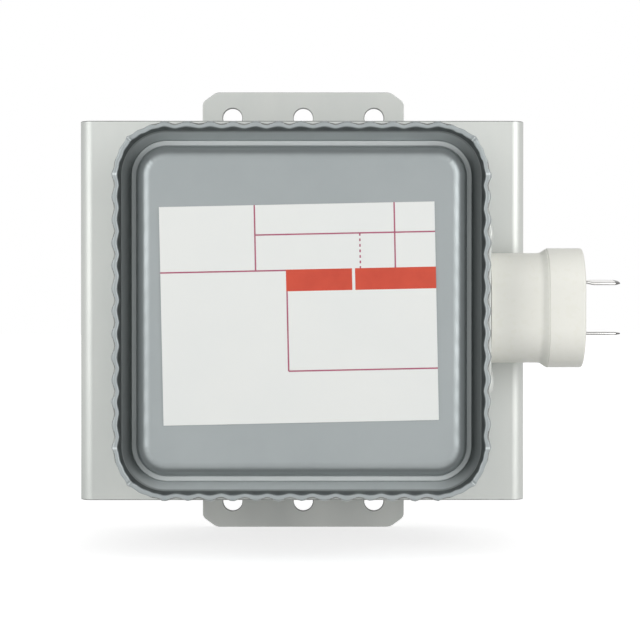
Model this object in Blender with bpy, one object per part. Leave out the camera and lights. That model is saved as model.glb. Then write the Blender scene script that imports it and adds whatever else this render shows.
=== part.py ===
"""Magnetron of a microwave oven, with its filter box, tube and cooling fins.

Units are metres. The antenna points along +Y, the lid of the filter box faces -Y, the supply
terminals point along +X and +Z is up. The origin is on the antenna's axis, in the face of the
mounting plate that is fastened to a waveguide.
"""

import math

import bmesh
import bpy
from mathutils import Matrix, Vector

# Fits
SEAT_GAP = 0.0003
CRIMP_GAP = 0.0002
LABEL_GAP = 0.0001

# Facets of round forms, the angle under which they shade smooth and the weld of their poles
ROUND = 28
TUBE_ROUND = 24
HOLE_ROUND = 12
SMALL_ROUND = 8
COIL_STEPS = 8
BEND_STEPS = 3
CORNER_STEPS = 4
SMOOTH_ANGLE = 35
POLE_WELD = 1e-7

# The corners of a rectangle, in order
CORNERS = ((-1, -1), (1, -1), (1, 1), (-1, 1))

# Mounting plate
PLATE_SHEET = 0.0016
EAR_WIDTH = 0.0484
EAR_SPAN = 0.1046
EAR_CORNER = 0.0032
EAR_CUT = (0.0033, 0.0024)
EAR_EASE = 0.0020
MOUNT_HOLE = 0.0046
MOUNT_PITCH = 0.017
MOUNT_EDGE = 0.0062

# Yoke frame
YOKE_WIDTH = 0.095
YOKE_HEIGHT = 0.0810
YOKE_SHEET = 0.0016
YOKE_BEND = 0.0028
TONGUE_WIDTH = 0.009
TONGUE_SPACING = 0.050
TONGUE_PROUD = 0.0008

# Ring magnets
MAGNET_OUTER = 0.055
MAGNET_BORE = 0.021
MAGNET_THICKNESS = 0.0125
MAGNET_EDGE = 0.0008

# Anode
ANODE_OUTER = 0.0396
ANODE_WALL = 0.0020
ANODE_LENGTH = 0.0266
VANE_COUNT = 10
VANE_SHEET = 0.0018
VANE_HEIGHT = 0.0092
VANE_TIP_RADIUS = 0.0045
STRAP_NOTCH_DEPTH = 0.0017
STRAP_THICKNESS = 0.0007
STRAP_HEIGHT = 0.0011
INNER_STRAP_RADIUS = 0.0064
OUTER_STRAP_RADIUS = 0.0080

# Pole pieces
POLE_SHEET = 0.0016
POLE_DISH = 0.0060
POLE_LEDGE = 0.0009
POLE_BRIM = 0.0040
POLE_FLOOR_RADIUS = 0.0090
POLE_BORE_RADIUS = 0.0047

# Vacuum seals and antenna
SEAL_SHEET = 0.0005
NECK_RADIUS = 0.0090
ANTENNA_NECK_END = 0.0085
ANTENNA_CERAMIC_RADIUS = 0.0077
ANTENNA_CERAMIC_WALL = 0.0026
ANTENNA_CERAMIC_LENGTH = 0.0105
CAP_RADIUS = 0.0075
CAP_SHEET = 0.0004
CAP_LENGTH = 0.0119
CAP_EDGE = 0.0022
EXHAUST_RADIUS = 0.0038
EXHAUST_SHEET = 0.0005
PINCH_THICKNESS = 0.0012
PINCH_LENGTH = 0.0025
ANTENNA_ROD = 0.0020
ANTENNA_FOOT_RADIUS = 0.0115
ROD_HOLE = 0.0050
GASKET_OUTER = 0.031
GASKET_THICKNESS = 0.0055

# Cathode and its stem
FILAMENT_RADIUS = 0.0019
FILAMENT_WIRE = 0.0006
FILAMENT_TURNS = 7
HAT_RADIUS = 0.0036
HAT_THICKNESS = 0.0012
HAT_HOLE_RADIUS = 0.0014
LEAD_WIRE = 0.0014
SIDE_LEAD_OFFSET = 0.0025
STEM_LEAD_OFFSET = 0.0034
STEM_NECK_PROUD = 0.0060
STEM_CERAMIC_RADIUS = 0.0082
STEM_CERAMIC_LENGTH = 0.0108
STEM_TERMINAL_SHEET = 0.0006
STEM_TERMINAL_WIDTH = 0.0050
STEM_TERMINAL_REACH = 0.0105
STEM_TERMINAL_TAB = 0.0045

# Cooling fins
FIN_COUNT = 5
FIN_PITCH = 0.0050
FIN_SHEET = 0.0006
FIN_HEIGHT = 0.058
FIN_FLAP = 0.0036
FIN_BEND = 0.0012
FIN_COLLAR = 0.0026

# Filter box and lid
BOX_SIZE = 0.0750
BOX_CORNER = 0.0102
BOX_DEPTH = 0.0297
BOX_SHEET = 0.00045
BOX_BEND = 0.0014
LID_SHEET = 0.00045
CRIMP_DEPTH = 0.0045
CRIMP_SWING = 0.00025
SIDE_WAVES = 12
CORNER_WAVES = 3
WAVE_STEPS = 4
SKIRT_SHELF = 0.0007
MOAT_TAPER = 0.0012
MOAT_DEPTH = 0.0090
MOAT_FLOOR = 0.0010
PANEL_DEPTH = 0.0030
PANEL_WALL = 0.0006
PANEL_SHOULDER = 0.0030
BOX_RIVET_INSET = 0.0115

# Rating label, a bare sticker
LABEL_WIDTH = 0.0552
LABEL_HEIGHT = 0.0438
LABEL_SHEET = 0.0002
LABEL_SHIFT = (-0.0005, -0.0005)
LABEL_TURN = 1.2

# Feed-through capacitor
CAPACITOR_RISE = 0.0006
CAPACITOR_INSET = 0.0112
FLANGE_SHEET = 0.0008
FLANGE_LENGTH = 0.038
FLANGE_WIDTH = 0.0185
FLANGE_CORNER = 0.003
FLANGE_RIVET_SPACING = 0.0305
CASE_REACH = 0.0212
CASE_NECK_LENGTH = 0.0228
CASE_NECK_WIDTH = 0.0142
CASE_HEAD_GROWTH = 0.0010
CASE_HEAD_DEPTH = 0.0080
CASE_WALL = 0.0016
CASE_EDGE = 0.0005
DISC_THICKNESS = 0.0060
INNER_CASE_REACH = 0.0100
INNER_CASE_WALL = 0.0012
CONDUCTOR_SPACING = 0.0106
CONDUCTOR_ROD = 0.0024
CONDUCTOR_INNER_REACH = 0.0135
BLADE_WIDTH = 0.0063
BLADE_SHEET = 0.0008
BLADE_EDGE = 0.0001
BLADE_REACH = 0.0072
BLADE_POINT = 0.0011
BLADE_TIP = 0.0004

# Choke coils
CHOKE_WIRE = 0.0014
CHOKE_TURNS = 7
CHOKE_PITCH = 0.0024
CHOKE_SPACING = 0.044
CORE_RADIUS = 0.0025
CORE_LENGTH = 0.0220

# Rivets
RIVET_RADIUS = 0.0015
RIVET_HEAD_RADIUS = 0.0026
RIVET_HEAD = 0.0009

# Places along the tube's axis, from the antenna side to the filter side
PLATE_UNDER = -PLATE_SHEET
ANTENNA_MAGNET_TOP = PLATE_UNDER - SEAT_GAP
ANTENNA_FLANGE_TOP = ANTENNA_MAGNET_TOP - MAGNET_THICKNESS - SEAT_GAP
ANODE_TOP = ANTENNA_FLANGE_TOP - SEAL_SHEET - SEAT_GAP
ANODE_BOTTOM = ANODE_TOP - ANODE_LENGTH
ANODE_MIDDLE = (ANODE_TOP + ANODE_BOTTOM) / 2
FILTER_FLANGE_TOP = ANODE_BOTTOM - SEAT_GAP
FILTER_MAGNET_TOP = FILTER_FLANGE_TOP - SEAL_SHEET - SEAT_GAP
YOKE_INSIDE = FILTER_MAGNET_TOP - MAGNET_THICKNESS - SEAT_GAP
YOKE_OUTSIDE = YOKE_INSIDE - YOKE_SHEET
BOX_BOTTOM = YOKE_OUTSIDE - SEAT_GAP
BOX_RIM = BOX_BOTTOM - BOX_DEPTH

# Places that several pieces share
ANODE_RADIUS = ANODE_OUTER / 2
BORE_RADIUS = MAGNET_BORE / 2
POLE_RADIUS = ANODE_RADIUS - ANODE_WALL + POLE_LEDGE - SEAT_GAP
CERAMIC_FOOT = ANTENNA_NECK_END + SEAT_GAP
CERAMIC_TOP = CERAMIC_FOOT + ANTENNA_CERAMIC_LENGTH
CAP_FOOT = CERAMIC_TOP + SEAT_GAP
CAP_TOP = CAP_FOOT + CAP_LENGTH
STEM_NECK_END = YOKE_OUTSIDE - STEM_NECK_PROUD
STEM_CERAMIC_TOP = STEM_NECK_END - SEAT_GAP
STEM_CERAMIC_END = STEM_CERAMIC_TOP - STEM_CERAMIC_LENGTH
STEM_TERMINAL_TOP = STEM_CERAMIC_END - SEAT_GAP
FILAMENT_TOP = ANODE_MIDDLE + VANE_HEIGHT / 2
FILAMENT_BOTTOM = ANODE_MIDDLE - VANE_HEIGHT / 2
BOX_HALF = BOX_SIZE / 2
YOKE_HALF = YOKE_WIDTH / 2
CAPACITOR_Y = BOX_BOTTOM - CAPACITOR_INSET
FLANGE_SEAT = BOX_HALF + SEAT_GAP
CASE_SEAT = FLANGE_SEAT + FLANGE_SHEET + SEAT_GAP
CASE_END = BOX_HALF + CASE_REACH
INNER_CASE_SEAT = BOX_HALF - BOX_SHEET - SEAT_GAP
CONDUCTOR_INNER_END = INNER_CASE_SEAT - CONDUCTOR_INNER_REACH


# Finishes

def finish(name, colour, roughness, metallic=0.0):
    """A plain Principled BSDF material with the real surface's colour and gloss."""
    material = bpy.data.materials.new(name)
    material.use_nodes = True
    shader = material.node_tree.nodes["Principled BSDF"]
    shader.inputs["Base Color"].default_value = (*colour, 1.0)
    shader.inputs["Roughness"].default_value = roughness
    shader.inputs["Metallic"].default_value = metallic
    material.diffuse_color = (*colour, 1.0)
    return material


def zinc_steel():
    return finish("zinc_steel", (0.58, 0.60, 0.58), 0.45, 0.6)


def pressed_steel():
    return finish("pressed_steel", (0.42, 0.45, 0.45), 0.35, 0.8)


def ferrite():
    return finish("ferrite", (0.05, 0.05, 0.055), 0.7)


def copper():
    return finish("copper", (0.72, 0.36, 0.22), 0.35, 0.9)


def aluminium():
    return finish("aluminium", (0.78, 0.79, 0.80), 0.35, 0.9)


def alumina():
    return finish("alumina", (0.86, 0.78, 0.77), 0.5)


def tungsten():
    return finish("tungsten", (0.32, 0.32, 0.33), 0.45, 0.9)


def seal_metal():
    return finish("seal_metal", (0.62, 0.62, 0.61), 0.3, 0.9)


def wire_mesh():
    return finish("wire_mesh", (0.50, 0.47, 0.40), 0.5, 0.8)


def white_plastic():
    return finish("white_plastic", (0.80, 0.80, 0.77), 0.4)


def tinned_brass():
    return finish("tinned_brass", (0.70, 0.70, 0.68), 0.3, 0.9)


def sticker_white():
    return finish("sticker_white", (0.82, 0.84, 0.82), 0.6)


# Outlines

def rounded(corners, steps=BEND_STEPS):
    """The points of an open outline through (x, y, radius) corners, its inner corners rounded."""
    points = [Vector(corners[0][:2])]
    for before, here, after in zip(corners, corners[1:], corners[2:]):
        tip = Vector(here[:2])
        into = (tip - Vector(before[:2])).normalized()
        out = (Vector(after[:2]) - tip).normalized()
        turn = math.atan2(into.cross(out), into.dot(out))
        radius = here[2]
        if radius == 0 or turn == 0:
            points.append(tip)
            continue
        start = tip - into * radius * math.tan(abs(turn) / 2)
        side = Vector((-into.y, into.x)) * math.copysign(radius, turn)
        for step in range(steps + 1):
            swing = Matrix.Rotation(turn * step / steps, 2)
            points.append(start + side - swing @ side)
    points.append(Vector(corners[-1][:2]))
    return points


def closed_outline(corners, steps=BEND_STEPS):
    """The points of a closed outline through (x, y, radius) corners, all of them rounded."""
    ring = [corners[-1], *corners, corners[0]]
    return rounded(ring, steps)[1:-1]


def beside(path, distance):
    """The path moved to its left by the distance, with mitred corners."""
    moved = []
    for index, here in enumerate(path):
        ends = [path[max(index - 1, 0)], here, path[min(index + 1, len(path) - 1)]]
        runs = [b - a for a, b in zip(ends, ends[1:]) if (b - a).length > 0]
        sides = [Vector((-run.y, run.x)).normalized() for run in runs]
        mitre = sides[0] + sides[-1]
        moved.append(here + mitre * distance / (1 + sides[0].dot(sides[-1])))
    return moved


def strip(path, thickness):
    """The closed section of a sheet that follows the path and lies on its left."""
    return list(path) + beside(path, thickness)[::-1]


def circle(x, y, radius, segments=ROUND):
    angles = [math.tau * step / segments for step in range(segments)]
    return [Vector((x + radius * math.cos(a), y + radius * math.sin(a))) for a in angles]


def racetrack(length, width):
    """A closed outline with round ends, its long side along the second axis."""
    radius, half = width / 2, (length - width) / 2
    ends = []
    for start, shift in ((0, half), (math.pi, -half)):
        for step in range(SMALL_ROUND + 1):
            angle = start + math.pi * step / SMALL_ROUND
            ends.append(Vector((radius * math.cos(angle), radius * math.sin(angle) + shift)))
    return ends


# Solids

def new_object(name, bm, material, place=(0, 0, 0)):
    """An object from a bmesh, its faces turned outwards and its round sides shaded smooth."""
    bmesh.ops.recalc_face_normals(bm, faces=bm.faces)
    mesh = bpy.data.meshes.new(name)
    bm.to_mesh(mesh)
    bm.free()
    if material:
        mesh.materials.append(material)
    mesh.shade_smooth()
    mesh.set_sharp_from_angle(angle=math.radians(SMOOTH_ANGLE))
    return place_mesh(name, mesh, place)


def place_mesh(name, mesh, place=(0, 0, 0)):
    obj = bpy.data.objects.new(name, mesh)
    obj.location = place
    bpy.context.scene.collection.objects.link(obj)
    return obj


def turned_mesh(profile, segments=ROUND):
    """The bmesh of a closed (radius, y) section turned about the Y axis."""
    bm = bmesh.new()
    verts = [bm.verts.new((radius, y, 0)) for radius, y in profile]
    pairs = zip(verts, verts[1:] + verts[:1])
    edges = [bm.edges.new(pair) for pair in pairs if pair[0].co.x > 0 or pair[1].co.x > 0]
    bmesh.ops.spin(
        bm, geom=verts + edges, cent=(0, 0, 0), axis=(0, 1, 0),
        angle=math.tau, steps=segments, use_merge=True,
    )
    bmesh.ops.remove_doubles(bm, verts=bm.verts, dist=POLE_WELD)
    return bm


def turned(name, profile, material, place=(0, 0, 0), segments=ROUND):
    return new_object(name, turned_mesh(profile, segments), material, place)


def put(point, axis, along):
    """A point of a flat outline in space, at a place along the named axis."""
    first, second = point
    spots = {"x": (along, first, second), "y": (first, along, second), "z": (first, second, along)}
    return spots[axis]


def add_prism(bm, loops, axis, low, high):
    """Adds a flat shape, the first loop its outline and the others holes, from low to high."""
    edges = []
    for loop in loops:
        verts = [bm.verts.new(put(point, axis, low)) for point in loop]
        edges += [bm.edges.new(pair) for pair in zip(verts, verts[1:] + verts[:1])]
    filled = bmesh.ops.triangle_fill(bm, edges=edges, use_beauty=True)
    faces = [item for item in filled["geom"] if isinstance(item, bmesh.types.BMFace)]
    raised = bmesh.ops.extrude_face_region(bm, geom=faces)
    verts = [item for item in raised["geom"] if isinstance(item, bmesh.types.BMVert)]
    bmesh.ops.translate(bm, verts=verts, vec=put((0, 0), axis, high - low))


def prism(name, loops, axis, low, high, material):
    bm = bmesh.new()
    add_prism(bm, loops, axis, low, high)
    return new_object(name, bm, material)


def add_block(bm, low, high):
    """Adds a box between two opposite corners."""
    size = Vector(high) - Vector(low)
    middle = (Vector(high) + Vector(low)) / 2
    matrix = Matrix.Translation(middle) @ Matrix.Diagonal((*size, 1))
    bmesh.ops.create_cube(bm, size=1, matrix=matrix)


def join_rings(bm, first, second):
    """Faces between two rings of (share of the way round, vertex) that may differ in count."""
    if len(first) == len(second):
        for a, b in zip(range(-1, len(first) - 1), range(len(first))):
            bm.faces.new((first[a][1], first[b][1], second[b][1], second[a][1]))
        return
    if len(first) < len(second):
        first, second = second, first
    i = j = 0
    while i < len(first) or j < len(second):
        here, there = first[i % len(first)][1], second[j % len(second)][1]
        next_first = first[i + 1][0] if i + 1 < len(first) else 1 + (i >= len(first))
        next_second = second[j + 1][0] if j + 1 < len(second) else 1 + (j >= len(second))
        if next_first <= next_second and i < len(first):
            i += 1
            bm.faces.new((here, first[i % len(first)][1], there))
        else:
            j += 1
            bm.faces.new((here, second[j % len(second)][1], there))


def loft(bm, rings, close_ends=True):
    """Faces through a row of rings, with a flat cap on each end."""
    for first, second in zip(rings, rings[1:]):
        join_rings(bm, first, second)
    if close_ends:
        for ring in (rings[0], rings[-1]):
            bm.faces.new([vert for _, vert in ring])


def outline_ring(bm, outline, axis, along):
    count = len(outline)
    return [(i / count, bm.verts.new(put(point, axis, along))) for i, point in enumerate(outline)]


def wire(name, points, diameter, material, sides=2):
    """A closed round wire along the points."""
    curve = bpy.data.curves.new(name, "CURVE")
    curve.dimensions = "3D"
    curve.bevel_depth = diameter / 2
    curve.bevel_resolution = sides
    curve.use_fill_caps = True
    curve.materials.append(material)
    spline = curve.splines.new("POLY")
    spline.points.add(len(points) - 1)
    for point, place in zip(spline.points, points):
        point.co = (*place, 1)
    obj = bpy.data.objects.new(name, curve)
    bpy.context.scene.collection.objects.link(obj)
    return obj


def boolean(obj, bm, operation):
    """Cuts the bmesh from the object, or adds it, through a hidden helper object."""
    helper = new_object(f"{obj.name}_{operation.lower()}_tool", bm, None)
    helper.hide_render = True
    helper.display_type = "WIRE"
    modifier = obj.modifiers.new(helper.name, "BOOLEAN")
    modifier.operation = operation
    modifier.object = helper


def applied_mesh(obj):
    """The object's mesh with its modifiers worked out."""
    graph = bpy.context.evaluated_depsgraph_get()
    return bpy.data.meshes.new_from_object(obj.evaluated_get(graph))


# Magnetic circuit

def tongue_places():
    return [side * TONGUE_SPACING / 2 for side in (-1, 1)]


def mounting_plate(material):
    """The plate across the yoke's arms, with two drilled ears and a bore for the antenna."""
    half_x, half_z = YOKE_HALF, YOKE_HEIGHT / 2
    ear, tip = EAR_WIDTH / 2, EAR_SPAN / 2
    notch = YOKE_SHEET + SEAT_GAP
    right = []
    for middle in tongue_places():
        low, high = (middle + side * (TONGUE_WIDTH / 2 + SEAT_GAP) for side in (-1, 1))
        right += [(half_x, low, 0), (half_x - notch, low, 0), (half_x - notch, high, 0), (half_x, high, 0)]
    side = [(half_x, -half_z, EAR_CORNER), *right, (half_x, half_z, EAR_CORNER)]
    run, rise = EAR_CUT
    upper = [(ear, half_z, EAR_CORNER), (ear, tip - rise, EAR_EASE), (ear - run, tip, EAR_EASE)]
    upper += [(-x, z, radius) for x, z, radius in upper[::-1]]
    other = [(-x, -z, radius) for x, z, radius in side]
    lower = [(-x, -z, radius) for x, z, radius in upper]
    outline = closed_outline(side + upper + other + lower)
    row = tip - MOUNT_EDGE
    holes = [
        circle(column * MOUNT_PITCH, z, MOUNT_HOLE / 2, HOLE_ROUND)
        for z in (-row, row) for column in (-1, 0, 1)
    ]
    bore = circle(0, 0, BORE_RADIUS)
    prism("mounting_plate", [outline, bore, *holes], "y", PLATE_UNDER, 0, material)


def rivet_places():
    half = BOX_HALF - BOX_RIVET_INSET
    return [(x, z) for x in (-half, half) for z in (-half, half)]


def yoke_frame(material):
    """The U of bent strip round the fins, its tongues staked in the mounting plate's notches."""
    path = rounded([
        (-YOKE_HALF, TONGUE_PROUD, 0), (-YOKE_HALF, YOKE_OUTSIDE, YOKE_BEND),
        (YOKE_HALF, YOKE_OUTSIDE, YOKE_BEND), (YOKE_HALF, TONGUE_PROUD, 0),
    ], steps=2 * BEND_STEPS)
    half_z = YOKE_HEIGHT / 2
    frame = prism("yoke_frame", [strip(path, YOKE_SHEET)], "z", -half_z, half_z, material)
    cuts = bmesh.new()
    edges = [-half_z - YOKE_SHEET]
    for middle in tongue_places():
        edges += [middle - TONGUE_WIDTH / 2, middle + TONGUE_WIDTH / 2]
    edges.append(half_z + YOKE_SHEET)
    reach = YOKE_HALF + YOKE_SHEET
    for low, high in zip(edges[::2], edges[1::2]):
        add_block(cuts, (-reach, PLATE_UNDER - SEAT_GAP, low), (reach, 2 * TONGUE_PROUD, high))
    low, high = YOKE_OUTSIDE - YOKE_SHEET, YOKE_INSIDE + YOKE_SHEET
    add_prism(cuts, [circle(0, 0, BORE_RADIUS)], "y", low, high)
    for x, z in rivet_places():
        add_prism(cuts, [circle(x, z, RIVET_RADIUS + SEAT_GAP, SMALL_ROUND)], "y", low, high)
    boolean(frame, cuts, "DIFFERENCE")


def magnets(material):
    """The two ring magnets, each with a broken outer edge."""
    outer, inner, edge = MAGNET_OUTER / 2, BORE_RADIUS, MAGNET_EDGE
    tops = {"magnet_antenna_side": ANTENNA_MAGNET_TOP, "magnet_filter_side": FILTER_MAGNET_TOP}
    for name, top in tops.items():
        bottom = top - MAGNET_THICKNESS
        profile = [
            (inner, top), (outer - edge, top), (outer, top - edge),
            (outer, bottom + edge), (outer - edge, bottom), (inner, bottom),
        ]
        turned(name, profile, material)


def cooling_fins(material):
    """Pressed fins on the anode, with a collar on it and flaps that lean on the yoke's arms."""
    reach = YOKE_HALF - YOKE_SHEET - SEAT_GAP
    path = rounded([
        (-reach, FIN_FLAP, 0), (-reach, 0, FIN_BEND), (reach, 0, FIN_BEND), (reach, FIN_FLAP, 0),
    ])
    bore = ANODE_RADIUS + SEAT_GAP
    blank = prism("fin_blank", [strip(path, FIN_SHEET)], "z", -FIN_HEIGHT / 2, FIN_HEIGHT / 2, material)
    collar = bmesh.new()
    add_prism(collar, [circle(0, 0, bore + FIN_SHEET)], "y", FIN_SHEET / 2, FIN_COLLAR)
    boolean(blank, collar, "UNION")
    hole = bmesh.new()
    add_prism(hole, [circle(0, 0, bore)], "y", -FIN_SHEET, 2 * FIN_COLLAR)
    boolean(blank, hole, "DIFFERENCE")
    mesh = applied_mesh(blank)
    blank.hide_render = True
    blank.display_type = "WIRE"
    first = ANODE_MIDDLE - FIN_PITCH * (FIN_COUNT - 1) / 2 - FIN_COLLAR / 2
    for index in range(FIN_COUNT):
        place_mesh(f"cooling_fin_{index + 1}", mesh, (0, first + index * FIN_PITCH, 0))


# Anode

def anode_cylinder(material):
    outer, inner = ANODE_RADIUS, ANODE_RADIUS - ANODE_WALL
    ledge, sink = inner + POLE_LEDGE, POLE_SHEET + SEAT_GAP
    profile = [
        (outer, ANODE_BOTTOM), (outer, ANODE_TOP), (ledge, ANODE_TOP), (ledge, ANODE_TOP - sink),
        (inner, ANODE_TOP - sink), (inner, ANODE_BOTTOM + sink), (ledge, ANODE_BOTTOM + sink),
        (ledge, ANODE_BOTTOM),
    ]
    turned("anode_cylinder", profile, material, segments=TUBE_ROUND)


def anode_vanes(material):
    """Radial vanes with a notch for the straps in each end."""
    foot = ANODE_RADIUS - ANODE_WALL - SEAT_GAP
    near = INNER_STRAP_RADIUS - SEAT_GAP
    far = OUTER_STRAP_RADIUS + STRAP_THICKNESS + SEAT_GAP
    half, notch = VANE_HEIGHT / 2, VANE_HEIGHT / 2 - STRAP_NOTCH_DEPTH
    upper = [(foot, half), (far, half), (far, notch), (near, notch), (near, half), (VANE_TIP_RADIUS, half)]
    outline = [Vector(point) for point in upper + [(radius, -y) for radius, y in upper[::-1]]]
    bm = bmesh.new()
    add_prism(bm, [outline], "z", -VANE_SHEET / 2, VANE_SHEET / 2)
    first = new_object("anode_vane_01", bm, material, (0, ANODE_MIDDLE, 0))
    for index in range(1, VANE_COUNT):
        vane = place_mesh(f"anode_vane_{index + 1:02d}", first.data, (0, ANODE_MIDDLE, 0))
        vane.rotation_euler.y = math.tau * index / VANE_COUNT


def straps(material):
    """Rings in the vanes' notches, two at each end."""
    seat = VANE_HEIGHT / 2 - STRAP_NOTCH_DEPTH + SEAT_GAP
    for ring, inner in (("inner", INNER_STRAP_RADIUS), ("outer", OUTER_STRAP_RADIUS)):
        for end, sign in (("antenna", 1), ("filter", -1)):
            low, high = ANODE_MIDDLE + sign * seat, ANODE_MIDDLE + sign * (seat + STRAP_HEIGHT)
            outer = inner + STRAP_THICKNESS
            profile = [(inner, low), (outer, low), (outer, high), (inner, high)]
            turned(f"{ring}_strap_{end}_side", profile, material, segments=2 * SMALL_ROUND)


def pole_section(face, inward):
    """A dished pole piece's section, from the brim in the anode's end to its bore."""
    brim = POLE_RADIUS - POLE_BRIM
    path = [
        Vector((POLE_RADIUS, face)), Vector((brim, face)),
        Vector((POLE_FLOOR_RADIUS, face + inward * POLE_DISH)),
        Vector((POLE_BORE_RADIUS, face + inward * POLE_DISH)),
    ]
    return strip(path, -inward * POLE_SHEET)


def pole_pieces(material):
    turned("cathode_pole_piece", pole_section(ANODE_BOTTOM, 1), material, segments=TUBE_ROUND)
    antenna_side = turned("antenna_pole_piece", pole_section(ANODE_TOP, -1), material, segments=TUBE_ROUND)
    hole = bmesh.new()
    spot = circle(ANTENNA_FOOT_RADIUS, 0, ROD_HOLE / 2, SMALL_ROUND)
    add_prism(hole, [spot], "y", ANODE_TOP - POLE_DISH - 2 * POLE_SHEET, ANODE_TOP + POLE_SHEET)
    boolean(antenna_side, hole, "DIFFERENCE")


# Vacuum seals and antenna

def seal_section(flange, neck_end):
    """A seal cup's section: a flange on the anode's end, a neck and an inturned lip."""
    outward = math.copysign(1, neck_end - flange)
    lip = ANTENNA_CERAMIC_RADIUS - ANTENNA_CERAMIC_WALL
    path = rounded([
        (ANODE_RADIUS, flange, 0), (NECK_RADIUS, flange, 2 * SEAL_SHEET),
        (NECK_RADIUS, neck_end, 2 * SEAL_SHEET), (lip, neck_end, 0),
    ], steps=1)
    return strip(path, outward * SEAL_SHEET)


def seal_cups(material):
    antenna_side = seal_section(ANTENNA_FLANGE_TOP, ANTENNA_NECK_END)
    turned("antenna_seal_cup", antenna_side, material, segments=TUBE_ROUND)
    filter_side = seal_section(FILTER_FLANGE_TOP - SEAL_SHEET, STEM_NECK_END)
    turned("cathode_seal_cup", filter_side, material, segments=TUBE_ROUND)


def antenna_ceramic(material):
    outer, inner = ANTENNA_CERAMIC_RADIUS, ANTENNA_CERAMIC_RADIUS - ANTENNA_CERAMIC_WALL
    profile = [(inner, CERAMIC_FOOT), (outer, CERAMIC_FOOT), (outer, CERAMIC_TOP), (inner, CERAMIC_TOP)]
    turned("antenna_ceramic", profile, material, segments=TUBE_ROUND)


def exhaust_tube(material):
    """A copper tube with a brazed flange, pinched flat at its end once it was pumped out."""
    brim = CAP_RADIUS - CAP_SHEET - SEAT_GAP
    foot = CERAMIC_TOP + SEAT_GAP
    end = CAP_TOP - CAP_SHEET - 4 * SEAT_GAP
    neck = foot + EXHAUST_SHEET
    pinch = end - PINCH_LENGTH
    round_end = (neck + pinch) / 2
    bore = EXHAUST_RADIUS - EXHAUST_SHEET
    flat_half = EXHAUST_RADIUS * math.pi / 2 - PINCH_THICKNESS / 2
    slit = PINCH_THICKNESS / 4

    def oval(wide, thin):
        return [Vector((p.x * wide, p.y * thin)) for p in circle(0, 0, 1, 2 * SMALL_ROUND)]

    bm = bmesh.new()
    sections = [
        (bore, bore, foot), (brim, brim, foot), (brim, brim, neck), (EXHAUST_RADIUS, EXHAUST_RADIUS, neck),
        (EXHAUST_RADIUS, EXHAUST_RADIUS, round_end), (flat_half, PINCH_THICKNESS / 2, pinch),
        (flat_half, PINCH_THICKNESS / 2, end),
    ]
    outer = [outline_ring(bm, oval(wide, thin), "y", y) for wide, thin, y in sections]
    inner = [(bore, bore, round_end), (flat_half - EXHAUST_SHEET, slit, pinch)]
    hollow = [outline_ring(bm, oval(wide, thin), "y", y) for wide, thin, y in inner]
    loft(bm, hollow[::-1] + outer)
    new_object("exhaust_tube", bm, material)


def antenna_cap(material):
    path = rounded([(CAP_RADIUS, CAP_FOOT, 0), (CAP_RADIUS, CAP_TOP, CAP_EDGE), (0, CAP_TOP, 0)])
    turned("antenna_cap", strip(path, CAP_SHEET), material, segments=TUBE_ROUND)


def antenna_rod(material):
    """The output lead, from a vane through the pole piece to the exhaust tube."""
    foot = ANODE_MIDDLE + VANE_HEIGHT / 2 + SEAT_GAP
    end = (CERAMIC_TOP + CAP_TOP) / 2 - ANTENNA_ROD
    bend = ANODE_TOP - POLE_DISH / 2
    neck = ANODE_TOP + 3 * ANTENNA_ROD
    path = rounded([
        (ANTENNA_FOOT_RADIUS, foot, 0), (ANTENNA_FOOT_RADIUS, bend, ANTENNA_ROD),
        (0, neck, 2 * ANTENNA_ROD), (0, end, 0),
    ])
    wire("antenna_rod", [(x, y, 0) for x, y in path], ANTENNA_ROD, material)


def rf_gasket(material):
    """The knitted wire ring that seals the plate to the waveguide."""
    inner, outer = NECK_RADIUS + SEAT_GAP, GASKET_OUTER / 2
    low, high = SEAT_GAP, SEAT_GAP + GASKET_THICKNESS
    edge = GASKET_THICKNESS / 4
    corners = [(inner, low, edge), (outer, low, edge), (outer, high, edge), (inner, high, edge)]
    turned("rf_gasket", closed_outline(corners, 1), material, segments=TUBE_ROUND)


# Cathode and stem

def filament(material):
    """The helical filament between the end hats."""
    points = []
    height = FILAMENT_TOP - FILAMENT_BOTTOM - FILAMENT_WIRE - 2 * SEAT_GAP
    low = FILAMENT_BOTTOM + FILAMENT_WIRE / 2 + SEAT_GAP
    steps = FILAMENT_TURNS * COIL_STEPS
    for index in range(steps + 1):
        angle = math.tau * index / COIL_STEPS
        y = low + height * index / steps
        points.append((FILAMENT_RADIUS * math.cos(angle), y, FILAMENT_RADIUS * math.sin(angle)))
    wire("filament", points, FILAMENT_WIRE, material, sides=0)


def end_hats(material):
    """The discs on the filament's ends, the lower one with a hole for the centre lead."""
    edge = HAT_THICKNESS / 3
    top, high = FILAMENT_TOP, FILAMENT_TOP + HAT_THICKNESS
    upper = [
        (0, top), (HAT_RADIUS, top), (HAT_RADIUS, high - edge), (HAT_RADIUS - edge, high), (0, high),
    ]
    turned("upper_end_hat", upper, material, segments=2 * SMALL_ROUND)
    bottom, low = FILAMENT_BOTTOM, FILAMENT_BOTTOM - HAT_THICKNESS
    lower = [
        (HAT_HOLE_RADIUS, bottom), (HAT_RADIUS, bottom), (HAT_RADIUS, low + edge),
        (HAT_RADIUS - edge, low), (HAT_HOLE_RADIUS, low),
    ]
    turned("lower_end_hat", lower, material, segments=2 * SMALL_ROUND)


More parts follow.
